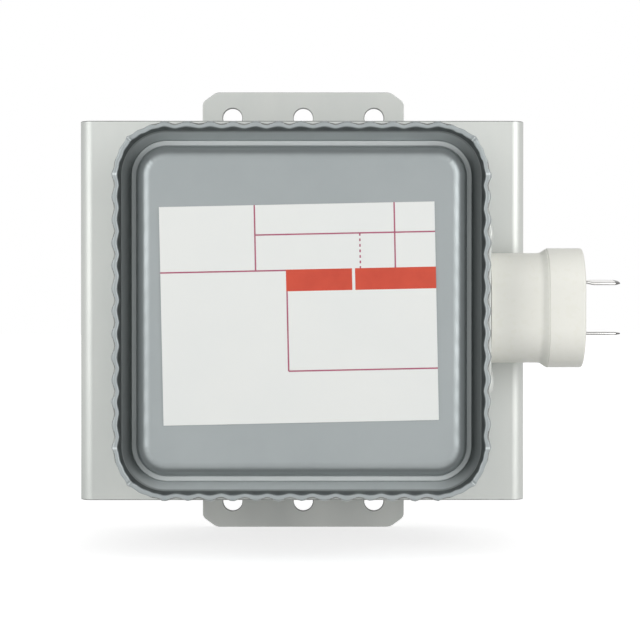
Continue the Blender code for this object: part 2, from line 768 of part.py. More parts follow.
def cathode_leads(material):
    """The two leads from the filament through the stem ceramic to its terminals."""
    jog = (ANODE_BOTTOM + YOKE_INSIDE) / 2
    end = STEM_TERMINAL_TOP - STEM_TERMINAL_SHEET - LEAD_WIRE / 2
    starts = (
        ("centre_lead", 1, 0, FILAMENT_TOP - SEAT_GAP),
        ("side_lead", -1, -SIDE_LEAD_OFFSET, FILAMENT_BOTTOM - HAT_THICKNESS - SEAT_GAP),
    )
    for name, side, z, top in starts:
        path = rounded([
            (z, top, 0), (z, jog, LEAD_WIRE), (side * STEM_LEAD_OFFSET, YOKE_INSIDE, LEAD_WIRE),
            (side * STEM_LEAD_OFFSET, end, 0),
        ], steps=2)
        wire(name, [(0, y, lead_z) for lead_z, y in path], LEAD_WIRE, material, sides=1)


def stem_ceramic(material):
    holes = [circle(0, side * STEM_LEAD_OFFSET, LEAD_WIRE / 2 + SEAT_GAP, SMALL_ROUND) for side in (1, -1)]
    outline = circle(0, 0, STEM_CERAMIC_RADIUS)
    prism("stem_ceramic", [outline, *holes], "y", STEM_CERAMIC_END, STEM_CERAMIC_TOP, material)


def stem_terminals(material):
    """Folded strips on the stem's end, each with a hole for its lead and a tab for a choke."""
    inner = STEM_LEAD_OFFSET - LEAD_WIRE
    half = STEM_TERMINAL_WIDTH / 2
    for name, side in (("stem_terminal_upper", 1), ("stem_terminal_lower", -1)):
        path = rounded([
            (side * inner, STEM_TERMINAL_TOP, 0),
            (side * STEM_TERMINAL_REACH, STEM_TERMINAL_TOP, 2 * STEM_TERMINAL_SHEET),
            (side * STEM_TERMINAL_REACH, STEM_TERMINAL_TOP + STEM_TERMINAL_TAB, 0),
        ])
        section = [Vector((y, z)) for z, y in strip(path, -side * STEM_TERMINAL_SHEET)]
        piece = prism(name, [section], "x", -half, half, material)
        hole = bmesh.new()
        spot = circle(0, side * STEM_LEAD_OFFSET, LEAD_WIRE / 2 + SEAT_GAP, SMALL_ROUND)
        low, high = STEM_TERMINAL_TOP - 2 * STEM_TERMINAL_SHEET, STEM_TERMINAL_TOP + STEM_TERMINAL_SHEET
        add_prism(hole, [spot], "y", low, high)
        boolean(piece, hole, "DIFFERENCE")


# Filter box and lid

def box_outline(inset, wave_steps):
    """(share of the way round, point, outward side, wave) along the box's outline."""
    corner_steps = CORNER_WAVES * wave_steps or CORNER_STEPS
    side_steps = SIDE_WAVES * wave_steps or 1
    radius = BOX_CORNER - inset
    centre = BOX_HALF - BOX_CORNER
    for quarter in range(4):
        turn = Matrix.Rotation(quarter * math.pi / 2, 2)
        for step in range(corner_steps):
            share = step / corner_steps
            angle = share * math.pi / 2
            side = Vector((math.cos(angle), math.sin(angle)))
            point = Vector((centre, centre)) + side * radius
            wave = math.cos(math.tau * share * CORNER_WAVES)
            yield (quarter + share / 2) / 4, turn @ point, turn @ side, wave
        for step in range(side_steps):
            share = step / side_steps
            side = Vector((0, 1))
            point = Vector((centre * (1 - 2 * share), centre + radius))
            wave = math.cos(math.tau * share * SIDE_WAVES)
            yield (quarter + 0.5 + share / 2) / 4, turn @ point, turn @ side, wave


def box_ring(bm, inset, depth):
    """A plain ring round the box, inset from its outside and below its rim."""
    outline = box_outline(inset, 0)
    return [(share, bm.verts.new((p.x, BOX_RIM + depth, p.y))) for share, p, _, _ in outline]


def crimp_foot(bm, inset, depth):
    """The ring where the crimp's waves run out, with a point for each wave."""
    outline = box_outline(inset, 1)
    return [(share, bm.verts.new((p.x, BOX_RIM + depth, p.y))) for share, p, _, _ in outline]


def crimp_rim(bm, inset):
    """The waved ring at the rim."""
    ring = []
    for share, point, side, wave in box_outline(inset, WAVE_STEPS):
        point = point + side * CRIMP_SWING * wave
        ring.append((share, bm.verts.new((point.x, BOX_RIM, point.y))))
    return ring


def bottom_bend(sheet):
    """(inset, depth) pairs round the bend between wall and bottom, a sheet inside its outside."""
    radius = BOX_BEND - sheet
    pairs = []
    for step in range(BEND_STEPS + 1):
        angle = math.pi / 2 * step / BEND_STEPS
        depth = BOX_DEPTH - BOX_BEND + radius * math.sin(angle)
        pairs.append((BOX_BEND - radius * math.cos(angle), depth))
    return pairs


def filter_box(material):
    """The drawn box: a pierced bottom, four walls and a rim that is crimped to the lid."""
    bm = bmesh.new()
    rings = [box_ring(bm, *pair) for pair in bottom_bend(BOX_SHEET)[::-1]]
    rings += [crimp_foot(bm, BOX_SHEET, CRIMP_DEPTH), crimp_rim(bm, BOX_SHEET)]
    rings += [crimp_rim(bm, 0), crimp_foot(bm, 0, CRIMP_DEPTH)]
    rings += [box_ring(bm, *pair) for pair in bottom_bend(0)]
    loft(bm, rings)
    box = new_object("filter_box", bm, material)
    cuts = bmesh.new()
    low, high = BOX_BOTTOM - 3 * BOX_SHEET, BOX_BOTTOM + BOX_SHEET
    add_prism(cuts, [circle(0, 0, NECK_RADIUS + SEAT_GAP)], "y", low, high)
    for x, z in rivet_places():
        add_prism(cuts, [circle(x, z, RIVET_RADIUS + SEAT_GAP, SMALL_ROUND)], "y", low, high)
    inner, outer = BOX_HALF - 3 * BOX_SHEET, BOX_HALF + BOX_SHEET
    add_prism(cuts, [case_outline(-2 * CASE_WALL)], "x", inner, outer)
    for spot in flange_rivet_spots():
        add_prism(cuts, [circle(*spot, RIVET_RADIUS + SEAT_GAP, SMALL_ROUND)], "x", inner, outer)
    boolean(box, cuts, "DIFFERENCE")


def lid_face():
    """(inset, depth) corners of the face that shows, from the rim to the raised panel."""
    rim = BOX_SHEET + CRIMP_GAP + LID_SHEET
    moat_top = rim + SKIRT_SHELF
    moat = moat_top + MOAT_TAPER
    panel = moat + MOAT_FLOOR
    shoulder = panel + PANEL_WALL
    flat = shoulder + 2 * PANEL_SHOULDER
    return rounded([
        (rim, 0, 0), (rim, CRIMP_DEPTH, 0), (moat_top, CRIMP_DEPTH + SKIRT_SHELF, 0),
        (moat, MOAT_DEPTH, LID_SHEET), (panel, MOAT_DEPTH, LID_SHEET),
        (shoulder, PANEL_DEPTH, PANEL_SHOULDER), (flat, PANEL_DEPTH, 0),
    ], steps=2)[:-1]


def filter_box_lid(material):
    """The pressed lid: a skirt crimped in the box, a moat and a raised panel."""
    face = lid_face()
    back = beside(face, LID_SHEET)
    bm = bmesh.new()
    sides = []
    for section in (face, back):
        rim, foot = crimp_rim(bm, section[0].x), crimp_foot(bm, *section[1])
        sides.append([rim, foot, *(box_ring(bm, *point) for point in section[2:])])
    loft(bm, sides[0][::-1] + sides[1])
    new_object("filter_box_lid", bm, material)


def rating_label(material):
    """A bare sticker on the lid's panel."""
    square = [Vector((x * LABEL_WIDTH / 2, z * LABEL_HEIGHT / 2)) for x, z in CORNERS]
    turn = Matrix.Rotation(math.radians(LABEL_TURN), 2)
    outline = [turn @ point + Vector(LABEL_SHIFT) for point in square]
    seat = BOX_RIM + PANEL_DEPTH - LABEL_GAP
    prism("rating_label", [outline], "y", seat - LABEL_SHEET, seat, material)


def box_rivets(material):
    """Rivets that hold the filter box to the yoke."""
    inside = BOX_BOTTOM - BOX_SHEET - SEAT_GAP
    outside = YOKE_INSIDE + SEAT_GAP
    for index, (x, z) in enumerate(rivet_places()):
        turned(f"box_rivet_{index + 1}", rivet_section(inside, outside), material, (x, 0, z), SMALL_ROUND)


def rivet_section(low, high):
    """A rivet's section, with a head beyond each of two faces."""
    edge = RIVET_HEAD / 2
    flat = RIVET_HEAD_RADIUS - edge
    return [
        (0, low - RIVET_HEAD), (flat, low - RIVET_HEAD), (RIVET_HEAD_RADIUS, low), (RIVET_RADIUS, low),
        (RIVET_RADIUS, high), (RIVET_HEAD_RADIUS, high), (flat, high + RIVET_HEAD), (0, high + RIVET_HEAD),
    ]


# Feed-through capacitor

def at_capacitor(outline):
    """An outline moved to the capacitor's middle."""
    return [point + Vector((CAPACITOR_Y, CAPACITOR_RISE)) for point in outline]


def case_outline(more=0):
    """The outline of the capacitor's case where it leaves the box, made wider by more."""
    return at_capacitor(racetrack(CASE_NECK_LENGTH + more, CASE_NECK_WIDTH + more))


def flange_rivet_spots():
    return [(CAPACITOR_Y, CAPACITOR_RISE + side * FLANGE_RIVET_SPACING / 2) for side in (-1, 1)]


def conductor_spots():
    return [(CAPACITOR_Y, CAPACITOR_RISE + side * CONDUCTOR_SPACING / 2) for side in (1, -1)]


def capacitor_flange(material):
    """The earthed plate of the capacitor, riveted on the filter box's wall."""
    corners = [(y * FLANGE_WIDTH / 2, z * FLANGE_LENGTH / 2, FLANGE_CORNER) for y, z in CORNERS]
    outline = at_capacitor(closed_outline(corners))
    holes = [circle(*spot, RIVET_RADIUS + SEAT_GAP, SMALL_ROUND) for spot in flange_rivet_spots()]
    loops = [outline, case_outline(-2 * CASE_WALL), *holes]
    prism("capacitor_flange", loops, "x", FLANGE_SEAT, FLANGE_SEAT + FLANGE_SHEET, material)


def capacitor_case(material):
    """The white outer case: a neck, a wider head with slits for the blades, and a hollow."""
    head = CASE_END - CASE_HEAD_DEPTH
    grow = CASE_HEAD_GROWTH
    outer = [
        (0, CASE_SEAT), (0, head - grow), (2 * grow, head), (2 * grow, CASE_END - CASE_EDGE),
        (2 * grow - 2 * CASE_EDGE, CASE_END),
    ]
    hollow = [(-2 * CASE_WALL, CASE_END - CASE_WALL), (-2 * CASE_WALL, CASE_SEAT)]
    bm = bmesh.new()
    loft(bm, [outline_ring(bm, case_outline(more), "x", x) for more, x in hollow + outer])
    case = new_object("capacitor_case", bm, material)
    slits = bmesh.new()
    low, high = CASE_END - 2 * CASE_WALL, CASE_END + CASE_WALL
    half_y, half_z = BLADE_WIDTH / 2 + SEAT_GAP, BLADE_SHEET / 2 + SEAT_GAP
    for y, z in conductor_spots():
        add_block(slits, (low, y - half_y, z - half_z), (high, y + half_y, z + half_z))
    boolean(case, slits, "DIFFERENCE")


def capacitor_disc(material):
    """The ceramic block of the capacitor, inside its case, with two holes."""
    outline = case_outline(-2 * CASE_WALL - 2 * SEAT_GAP)
    holes = [circle(*spot, CONDUCTOR_ROD / 2 + SEAT_GAP, SMALL_ROUND) for spot in conductor_spots()]
    end = CASE_SEAT + DISC_THICKNESS
    prism("capacitor_ceramic", [outline, *holes], "x", CASE_SEAT, end, material)


def capacitor_inner_case(material):
    """The insulating sleeve round the conductors on the inside of the filter box."""
    wall, end = INNER_CASE_WALL, INNER_CASE_SEAT - INNER_CASE_REACH
    places = [(-2 * wall, end + wall), (-2 * wall, INNER_CASE_SEAT), (0, INNER_CASE_SEAT), (0, end)]
    bm = bmesh.new()
    loft(bm, [outline_ring(bm, case_outline(more), "x", x) for more, x in places])
    sleeve = new_object("capacitor_inner_case", bm, material)
    holes = bmesh.new()
    for spot in conductor_spots():
        hole = circle(*spot, CONDUCTOR_ROD / 2 + SEAT_GAP, SMALL_ROUND)
        add_prism(holes, [hole], "x", end - wall, end + 2 * wall)
    boolean(sleeve, holes, "DIFFERENCE")


def terminal_blades(material):
    """The two conductors: a rod through the capacitor, pressed flat to a pointed blade outside it."""
    rod = CONDUCTOR_ROD * math.cos(math.pi / 8)
    rod_cut = rod * (1 - math.sqrt(0.5))
    tip = CASE_END + BLADE_REACH
    sections = [
        (CONDUCTOR_INNER_END, rod, rod, rod_cut),
        (CASE_END - 3 * CASE_WALL, rod, rod, rod_cut),
        (CASE_END - CASE_WALL - SEAT_GAP, BLADE_WIDTH, BLADE_SHEET + SEAT_GAP, BLADE_EDGE),
        (CASE_END + SEAT_GAP, BLADE_WIDTH, BLADE_SHEET, BLADE_EDGE),
        (tip - BLADE_POINT, BLADE_WIDTH, BLADE_SHEET, BLADE_EDGE),
        (tip, BLADE_WIDTH - 2 * BLADE_POINT, BLADE_TIP, BLADE_EDGE),
    ]
    for name, spot in zip(("terminal_blade_upper", "terminal_blade_lower"), conductor_spots()):
        bm = bmesh.new()
        rings = []
        for x, width, thickness, cut in sections:
            corners = [(y * width / 2, z * thickness / 2, cut) for y, z in CORNERS]
            outline = [point + Vector(spot) for point in closed_outline(corners, 1)]
            rings.append(outline_ring(bm, outline, "x", x))
        loft(bm, rings)
        new_object(name, bm, material)


def capacitor_rivets(material):
    """Rivets that hold the capacitor's flange to the filter box."""
    section = rivet_section(BOX_HALF - BOX_SHEET - SEAT_GAP, FLANGE_SEAT + FLANGE_SHEET + SEAT_GAP)
    for index, (y, z) in enumerate(flange_rivet_spots()):
        rivet = turned(f"capacitor_rivet_{index + 1}", section, material, (0, y, z), SMALL_ROUND)
        rivet.rotation_euler.z = -math.pi / 2


# Chokes

def choke_points(side):
    """A choke's wire: from the stem's terminal round the ferrite core to a conductor."""
    radius = CORE_RADIUS + 2 * SEAT_GAP + CHOKE_WIRE / 2
    axis_y, axis_z = CAPACITOR_Y, side * CHOKE_SPACING / 2
    length, steps = CHOKE_TURNS * CHOKE_PITCH, CHOKE_TURNS * COIL_STEPS
    terminal_z = side * (STEM_TERMINAL_REACH + STEM_TERMINAL_SHEET + SEAT_GAP + CHOKE_WIRE / 2)
    terminal_y = STEM_TERMINAL_TOP + STEM_TERMINAL_TAB / 2
    start_x = -length / 2
    points = [(0, terminal_y, terminal_z), (start_x, terminal_y, terminal_z)]
    for index in range(steps + 1):
        angle = math.pi - math.tau * index / COIL_STEPS
        x = start_x + length * index / steps
        points.append((x, axis_y + radius * math.sin(angle), axis_z + side * radius * math.cos(angle)))
    conductor_z = CAPACITOR_RISE + side * CONDUCTOR_SPACING / 2
    end_x = CONDUCTOR_INNER_END - SEAT_GAP - CHOKE_WIRE / 2
    points += [(end_x, axis_y, axis_z - side * radius), (end_x, axis_y, conductor_z)]
    return points


def chokes(wire_material, core_material):
    """The two choke coils, each round its ferrite core."""
    for name, side in (("upper", 1), ("lower", -1)):
        wire(f"choke_coil_{name}", choke_points(side), CHOKE_WIRE, wire_material, sides=0)
        bm = bmesh.new()
        spot = circle(CAPACITOR_Y, side * CHOKE_SPACING / 2, CORE_RADIUS, SMALL_ROUND)
        add_prism(bm, [spot], "x", -CORE_LENGTH / 2, CORE_LENGTH / 2)
        new_object(f"choke_core_{name}", bm, core_material)


def build():
    for obj in list(bpy.data.objects):
        bpy.data.objects.remove(obj)
    zinc, steel, iron_ferrite = zinc_steel(), pressed_steel(), ferrite()
    bare_copper, fin_metal, ceramic = copper(), aluminium(), alumina()
    cup_metal, plastic, blade_metal = seal_metal(), white_plastic(), tinned_brass()
    hot_metal = tungsten()
    mounting_plate(zinc)
    yoke_frame(zinc)
    magnets(iron_ferrite)
    cooling_fins(fin_metal)
    anode_cylinder(bare_copper)
    anode_vanes(bare_copper)
    straps(bare_copper)
    pole_pieces(steel)
    seal_cups(cup_metal)
    antenna_ceramic(ceramic)
    exhaust_tube(bare_copper)
    antenna_cap(cup_metal)
    antenna_rod(bare_copper)
    rf_gasket(wire_mesh())
    filament(hot_metal)
    end_hats(hot_metal)
    cathode_leads(hot_metal)
    stem_ceramic(ceramic)
    stem_terminals(blade_metal)
    filter_box(steel)
    filter_box_lid(steel)
    rating_label(sticker_white())
    box_rivets(cup_metal)
    capacitor_flange(steel)
    capacitor_case(plastic)
    capacitor_disc(ceramic)
    capacitor_inner_case(plastic)
    terminal_blades(blade_metal)
    capacitor_rivets(cup_metal)
    chokes(bare_copper, iron_ferrite)


build()
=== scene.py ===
"""Looks of the magnetron: its dressed pieces, their finishes, the light and the camera.

Lengths are metres in the part's own frame: the antenna points along +Y, the lid of the filter
box faces -Y, the supply blades point along +X and +Z is up. Places that the solids already have
are read from the frame, and each sub-assembly keeps its own further sizes as fields.
"""

import logging
import math
from collections.abc import Callable, Iterable, Iterator, Sequence
from contextlib import contextmanager
from dataclasses import dataclass
from enum import Enum

import bmesh
import bpy
from mathutils import Matrix, Vector, noise


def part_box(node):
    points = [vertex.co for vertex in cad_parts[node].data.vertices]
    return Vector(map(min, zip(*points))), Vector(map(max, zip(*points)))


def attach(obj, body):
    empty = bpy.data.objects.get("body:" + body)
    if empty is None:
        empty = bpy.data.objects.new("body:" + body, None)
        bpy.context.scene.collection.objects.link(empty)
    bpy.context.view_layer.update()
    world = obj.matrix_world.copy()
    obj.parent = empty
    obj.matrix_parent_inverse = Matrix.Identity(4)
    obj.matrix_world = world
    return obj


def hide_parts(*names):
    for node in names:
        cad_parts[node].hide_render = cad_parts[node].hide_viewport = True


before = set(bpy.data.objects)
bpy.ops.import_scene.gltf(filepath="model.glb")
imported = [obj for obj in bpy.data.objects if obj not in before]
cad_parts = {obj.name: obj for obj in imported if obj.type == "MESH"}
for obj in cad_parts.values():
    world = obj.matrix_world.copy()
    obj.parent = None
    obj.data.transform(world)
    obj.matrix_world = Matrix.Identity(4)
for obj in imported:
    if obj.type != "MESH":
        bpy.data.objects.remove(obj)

LOG = logging.getLogger("magnetron")
BODY = "root"
WELD = 1e-6
SHARP_ANGLE = math.radians(32)
SEAT_GAP = 0.0003
ALONG_X = Vector((1, 0, 0))
ALONG_Z = Vector((0, 0, 1))

# Facets of a full turn
SMALL_ROUND = 24
ROUND = 48
LARGE_ROUND = 96
FINE_ROUND = 128

# The box rivets: their distance from the middle, both ways, and the radius of their holes
RIVET_SPOT = 0.026
RIVET_HOLE = 0.0018

# A rivet's head: its rise, and its points from the dimple to the rim, as shares of radius and rise
RIVET_RISE = 0.0009
RIVET_HEAD = ((0, 1 / 3), (0.3, 1 / 3), (0.45, 0), (0.7, 0.15), (0.93, 0.5), (1, 1))

# Levels of the soft noise between which a finish goes from one colour or gloss to the other
COLOUR_SPAN = (0.35, 0.68)
GLOSS_SPAN = (0.3, 0.7)
SPECK_EDGE = 0.06

WHITE = (1.0, 1.0, 1.0, 1.0)

Piece = bpy.types.Object
Socket = bpy.types.NodeSocket
Colour = tuple[float, float, float]
Section = list[tuple[float, float]]
Lamp = tuple[str, tuple[float, float, float], tuple[float, float], float]


# Finishes

class Slot(Enum):
    """The record's material slots."""

    ZINC_STEEL = "zinc_steel"
    PRESSED_STEEL = "pressed_steel"
    STICKER = "sticker"
    WIRE_MESH = "wire_mesh"
    FERRITE = "ferrite"
    FIN_ALUMINIUM = "fin_aluminium"
    COPPER = "copper"
    ALUMINA = "alumina"
    TUNGSTEN = "tungsten"
    SEAL_METAL = "seal_metal"
    WHITE_PLASTIC = "white_plastic"
    TINNED_METAL = "tinned_metal"


class Wiring:
    """Short ways to add nodes to a material or world and to join them."""

    def __init__(self, tree: bpy.types.NodeTree) -> None:
        """Works on the node tree that takes the new nodes."""
        self.tree = tree

    def add(self, kind: str, settings: dict | None = None, inputs: dict | None = None) -> bpy.types.Node:
        """Adds a node.

        Args:
            kind: the node's type.
            settings: values for the node's own properties.
            inputs: for each input's name, a socket to join to it or a constant to set on it.

        Returns:
            The new node.
        """
        made = self.tree.nodes.new(kind)
        for name, value in (settings or {}).items():
            setattr(made, name, value)
        for name, value in (inputs or {}).items():
            self.feed(made.inputs[name], value)
        return made

    def feed(self, socket: Socket, value: object) -> None:
        """Joins a socket to this input, or sets a constant on it.

        Args:
            socket: the input.
            value: an output socket, or the constant.
        """
        if isinstance(value, Socket):
            self.tree.links.new(value, socket)
        else:
            socket.default_value = value

    def math(self, operation: str, *values: object) -> Socket:
        """Adds a step of arithmetic.

        Args:
            operation: what it does.
            *values: its inputs, sockets or constants.

        Returns:
            Its output.
        """
        made = self.add("ShaderNodeMath", {"operation": operation})
        for socket, value in zip(made.inputs, values):
            self.feed(socket, value)
        return made.outputs["Value"]

    def vector(self, operation: str, *values: object) -> Socket:
        """Adds a step of vector arithmetic.

        Args:
            operation: what it does.
            *values: its inputs, sockets or constants.

        Returns:
            Its output, a number for LENGTH.
        """
        made = self.add("ShaderNodeVectorMath", {"operation": operation})
        for socket, value in zip(made.inputs, values):
            self.feed(socket, value)
        return made.outputs["Value" if operation == "LENGTH" else "Vector"]

    def mix(self, share: object, first: object, second: object) -> Socket:
        """Mixes two colours.

        Args:
            share: how much of the second.
            first: a colour or its socket.
            second: the other colour, or its socket.

        Returns:
            The socket that gives the mixed colour.
        """
        made = self.add("ShaderNodeMix", {"data_type": "RGBA"})
        for index, value in ((0, share), (6, first), (7, second)):
            self.feed(made.inputs[index], (*value, 1.0) if isinstance(value, tuple) else value)
        return made.outputs[2]

    def noise(self, where: Socket, scale: float, detail: float) -> Socket:
        """Adds a noise, with its lumps in a metre and how fine it gets, and gives its output."""
        made = self.add("ShaderNodeTexNoise", inputs={"Vector": where, "Scale": scale, "Detail": detail})
        return made.outputs["Fac"]

    def between(
        self, value: Socket, low: float, high: float, start: float = 0.0,
        end: float = 1.0, eased: bool = True,
    ) -> Socket:
        """Adds a step from one level to another.

        Args:
            value: the socket that it reads.
            low: where the step starts.
            high: where it ends.
            start: the level before it.
            end: the level after it.
            eased: whether it is soft at both ends.

        Returns:
            Its output.
        """
        made = self.add(
            "ShaderNodeMapRange", {"interpolation_type": "SMOOTHSTEP" if eased else "LINEAR"},
            {"Value": value, "From Min": low, "From Max": high, "To Min": start, "To Max": end},
        )
        return made.outputs["Result"]

    def seen(self) -> Socket:
        """Tells the rays of the eye, of reflections and of clear things from those of light.

        Returns:
            The socket that is 1 for them and 0 for the rest.
        """
        rays = self.add("ShaderNodeLightPath").outputs
        shiny = self.math("MAXIMUM", rays["Is Glossy Ray"], rays["Is Transmission Ray"])
        return self.math("MAXIMUM", rays["Is Camera Ray"], shiny)

    def ramp(self, factor: Socket, stops: Sequence[tuple[float, Colour]]) -> Socket:
        """Adds a colour ramp.

        Args:
            factor: the socket that picks the colour.
            stops: the place and linear colour of each stop.

        Returns:
            The ramp's colour output.
        """
        made = self.add("ShaderNodeValToRGB", inputs={"Fac": factor})
        elements = made.color_ramp.elements
        while len(elements) < len(stops):
            elements.new(1.0)
        for element, (place, colour) in zip(elements, stops):
            element.position = place
            element.color = (*colour, 1.0)
        return made.outputs["Color"]


@dataclass(frozen=True)
class Finish:
    """A real surface: its colour with blotches, its gloss and its fine grain.

    Attributes:
        name: the material's name.
        slot: the record's slot that the finish belongs to; not used.
        colour: the linear colour of most of the surface.
        blotch: the linear colour that it drifts to in places.
        metallic: 1 for bare metal, 0 for anything else.
        gloss: the roughness of the smoothest and of the dullest places.
        blotch_scale: blotches in a metre.
        grain_scale: grains in a metre.
        grain_depth: height of the grain.
        stretch: scale of the pattern along X, Y and Z; a small value draws it out into lines.
    """

    name: str
    slot: Slot
    colour: Colour
    blotch: Colour
    metallic: float
    gloss: tuple[float, float]
    blotch_scale: float
    grain_scale: float
    grain_depth: float = 0.000006
    stretch: tuple[float, float, float] = (1.0, 1.0, 1.0)

    def material(self) -> bpy.types.Material:
        """Gives the finish's material, made the first time.

        Returns:
            The material.
        """
        made = bpy.data.materials.get(self.name)
        if made:
            return made
        made = bpy.data.materials.new(self.name)
        made.use_nodes = True
        wiring = Wiring(made.node_tree)
        shader = made.node_tree.nodes["Principled BSDF"]
        where = wiring.add("ShaderNodeTexCoord").outputs["Object"]
        drawn = wiring.add("ShaderNodeMapping", inputs={"Vector": where, "Scale": self.stretch})
        self.dress(wiring, shader, drawn.outputs["Vector"])
        made.diffuse_color = (*self.colour, 1.0)
        return made

    def dress(self, wiring: Wiring, shader: bpy.types.Node, where: Socket) -> None:
        """Wires colour, gloss and grain to the shader.

        Args:
            wiring: the material's wiring.
            shader: its Principled BSDF.
            where: the pattern's coordinates.
        """
        cloud = wiring.noise(where, self.blotch_scale, 5.0)
        grain = wiring.noise(where, self.grain_scale, 3.0)
        wiring.feed(shader.inputs["Base Color"], self.tint(wiring, cloud, where))
        shader.inputs["Metallic"].default_value = self.metallic
        wiring.feed(
            shader.inputs["Roughness"], wiring.between(cloud, *GLOSS_SPAN, *self.gloss, eased=False)
        )
        bump = wiring.add("ShaderNodeBump", inputs={"Height": grain, "Distance": self.grain_depth})
        wiring.feed(shader.inputs["Normal"], bump.outputs["Normal"])

    def tint(self, wiring: Wiring, cloud: Socket, where: Socket) -> Socket:
        """Wires the surface's colour from a soft noise and gives its socket."""
        return wiring.ramp(cloud, list(zip(COLOUR_SPAN, (self.colour, self.blotch))))


@dataclass(frozen=True)
class SpeckledFinish(Finish):
    """A finish with fine specks in it, as fired and moulded bodies have.

    Attributes:
        speck: the linear colour of the specks.
        speck_scale: specks in a metre.
        speck_share: how much of the surface they cover.
    """

    speck: Colour = (0.3, 0.25, 0.2)
    speck_scale: float = 900.0
    speck_share: float = 0.3

    def tint(self, wiring: Wiring, cloud: Socket, where: Socket) -> Socket:
        """Wires the surface's colour with its specks.

        Args:
            wiring: the material's wiring.
            cloud: a soft noise over the surface.
            where: the pattern's coordinates.

        Returns:
            The socket that gives the colour.
        """
        body = super().tint(wiring, cloud, where)
        dots = wiring.noise(where, self.speck_scale, 1.0)
        share = wiring.between(
            dots, self.speck_share - SPECK_EDGE, self.speck_share, 1.0, 0.0, eased=False
        )
        return wiring.mix(share, body, self.speck)


@dataclass(frozen=True)
class ShadedLidFinish(Finish):
    """A pressed lid's finish with painted shade and light in its moat and painted glints at its rim.

    Attributes:
        shade: the linear colour of the painted shade inside the waves of the rim.
        moat_shade: the linear colour of the painted shade in the moat.
        bright: the colour of the painted light on the moat's upper and lower stretches, as the photograph
            shows.
        lip: where the painted shade inside the waves starts along Y.
        ledge: where the moat's painted shade and the painted light start along Y, at a crease all round.
        bed: where the moat's floor starts along Y.
        middle: distance of the middles of the corner roundings from the part's middle, both ways.
        inner: radius of the moat's inner side round them.
        ends: how much further up than across the painted light starts, and is full.
        ease: length of the soft step at the ledge.
        step: length of the other soft steps.
        glint_half_width: half width of the painted glint at the rim's splits.
        crease_highlight: how bright the painted highlight along the crease is.
        bed_share: how much weaker the painted light is on the moat's floor.
        glint_share: how bright the painted glints at the splits are.
    """

    shade: Colour = (0.10, 0.11, 0.11)
    moat_shade: Colour = (0.30, 0.325, 0.325)
    bright: Colour = (0.90, 0.94, 0.94)
    lip: float = -0.0871
    ledge: float = -0.0834
    bed: float = -0.0789
    middle: float = 0.0273
    inner: float = 0.0062
    ends: tuple[float, float] = (-0.006825, 0.0091)
    ease: float = 0.0012
    step: float = 0.0003
    glint_half_width: float = 0.0004
    crease_highlight: float = 0.25
    bed_share: float = -0.5
    glint_share: float = 0.45

    def tint(self, wiring: Wiring, cloud: Socket, where: Socket) -> Socket:
        """Wires the surface's colour with the moat's painted shade and light and the painted glints.

        Args:
            wiring: the material's wiring.
            cloud: a soft noise over the surface.
            where: the pattern's coordinates.

        Returns:
            The socket that gives the colour.
        """
        body = super().tint(wiring, cloud, where)
        parts = wiring.add("ShaderNodeSeparateXYZ", inputs={"Vector": where}).outputs
        deep = parts["Y"]
        across, up = (wiring.math("ABSOLUTE", parts[axis]) for axis in "XZ")
        slant = wiring.math("SUBTRACT", up, across)
        # Painted glints at the splits, over the moat's painted shade and light, over the plate's own
        # colour.
        return wiring.mix(
            self.split_glints(wiring, across, up, slant, deep),
            wiring.mix(self.moat(wiring, where, deep), body, self.walls(wiring, slant, deep)),
            self.bright,
        )

    def moat(self, wiring: Wiring, where: Socket, deep: Socket) -> Socket:
        """Finds the moat: outside the panel's rounded outline and below the lip.

        Args:
            wiring: the material's wiring.
            where: the pattern's coordinates.
            deep: the place along Y.

        Returns:
            The socket that is 1 in the moat.
        """
        spot = wiring.vector("SUBTRACT", wiring.vector("ABSOLUTE", where), (self.middle, 1.0, self.middle))
        radius = wiring.vector("LENGTH", wiring.vector("MAXIMUM", spot, (0.0, 0.0, 0.0)))
        return wiring.math(
            "MULTIPLY",
            wiring.between(radius, self.inner, self.inner + self.step),
            wiring.between(deep, self.lip, self.lip + self.step),
        )

    def walls(self, wiring: Wiring, slant: Socket, deep: Socket) -> Socket:
        """Wires the painted shade and light of the moat's walls and floor.

        Args:
            wiring: the material's wiring.
            slant: how much further up than across a place lies.
            deep: the place along Y.

        Returns:
            The socket that gives the colour.
        """
        ledge, half = self.ledge, self.ease / 2
        # Painted shade: darkest inside the waves, then the moat's painted shade from the ledge on.
        past = wiring.between(deep, ledge - half, ledge)
        crease = wiring.math("MULTIPLY", past, wiring.between(deep, ledge + half, ledge))
        # Painted light on the moat's upper and lower stretches, weaker on its floor.
        light = wiring.math(
            "MULTIPLY", wiring.between(slant, *self.ends), wiring.between(deep, ledge, ledge + self.ease)
        )
        bed = wiring.between(deep, self.bed - self.step, self.bed)
        light = wiring.math("MULTIPLY", light, wiring.math("MULTIPLY_ADD", bed, self.bed_share, 1.0))
        # A painted highlight along the crease at the ledge.
        light = wiring.math("MAXIMUM", light, wiring.math("MULTIPLY", crease, self.crease_highlight))
        return wiring.mix(light, wiring.mix(past, self.shade, self.moat_shade), self.bright)

    def split_glints(self, wiring: Wiring, across: Socket, up: Socket, slant: Socket, deep: Socket) -> Socket:
        """Finds the painted glints at the rim's splits: in each corner's middle and where its rounding
        starts.

        Args:
            wiring: the material's wiring.
            across: the distance from the middle along X.
            up: the distance from the middle along Z.
            slant: their difference.
            deep: the place along Y.

        Returns:
            The socket that gives how much painted glint a place gets.
        """
        side = self.middle + self.inner
        offset = wiring.math("ABSOLUTE", wiring.math("SUBTRACT", up, self.middle))
        turn = wiring.math(
            "MULTIPLY",
            wiring.between(offset, self.glint_half_width, 0),
            wiring.between(across, side, side + self.ease),
        )
        corner = wiring.between(wiring.math("ABSOLUTE", slant), self.glint_half_width, 0)
        rim = wiring.math(
            "MULTIPLY", wiring.between(deep, self.lip + self.step, self.lip), self.glint_share
        )
        return wiring.math("MULTIPLY", wiring.math("MAXIMUM", corner, turn), rim)


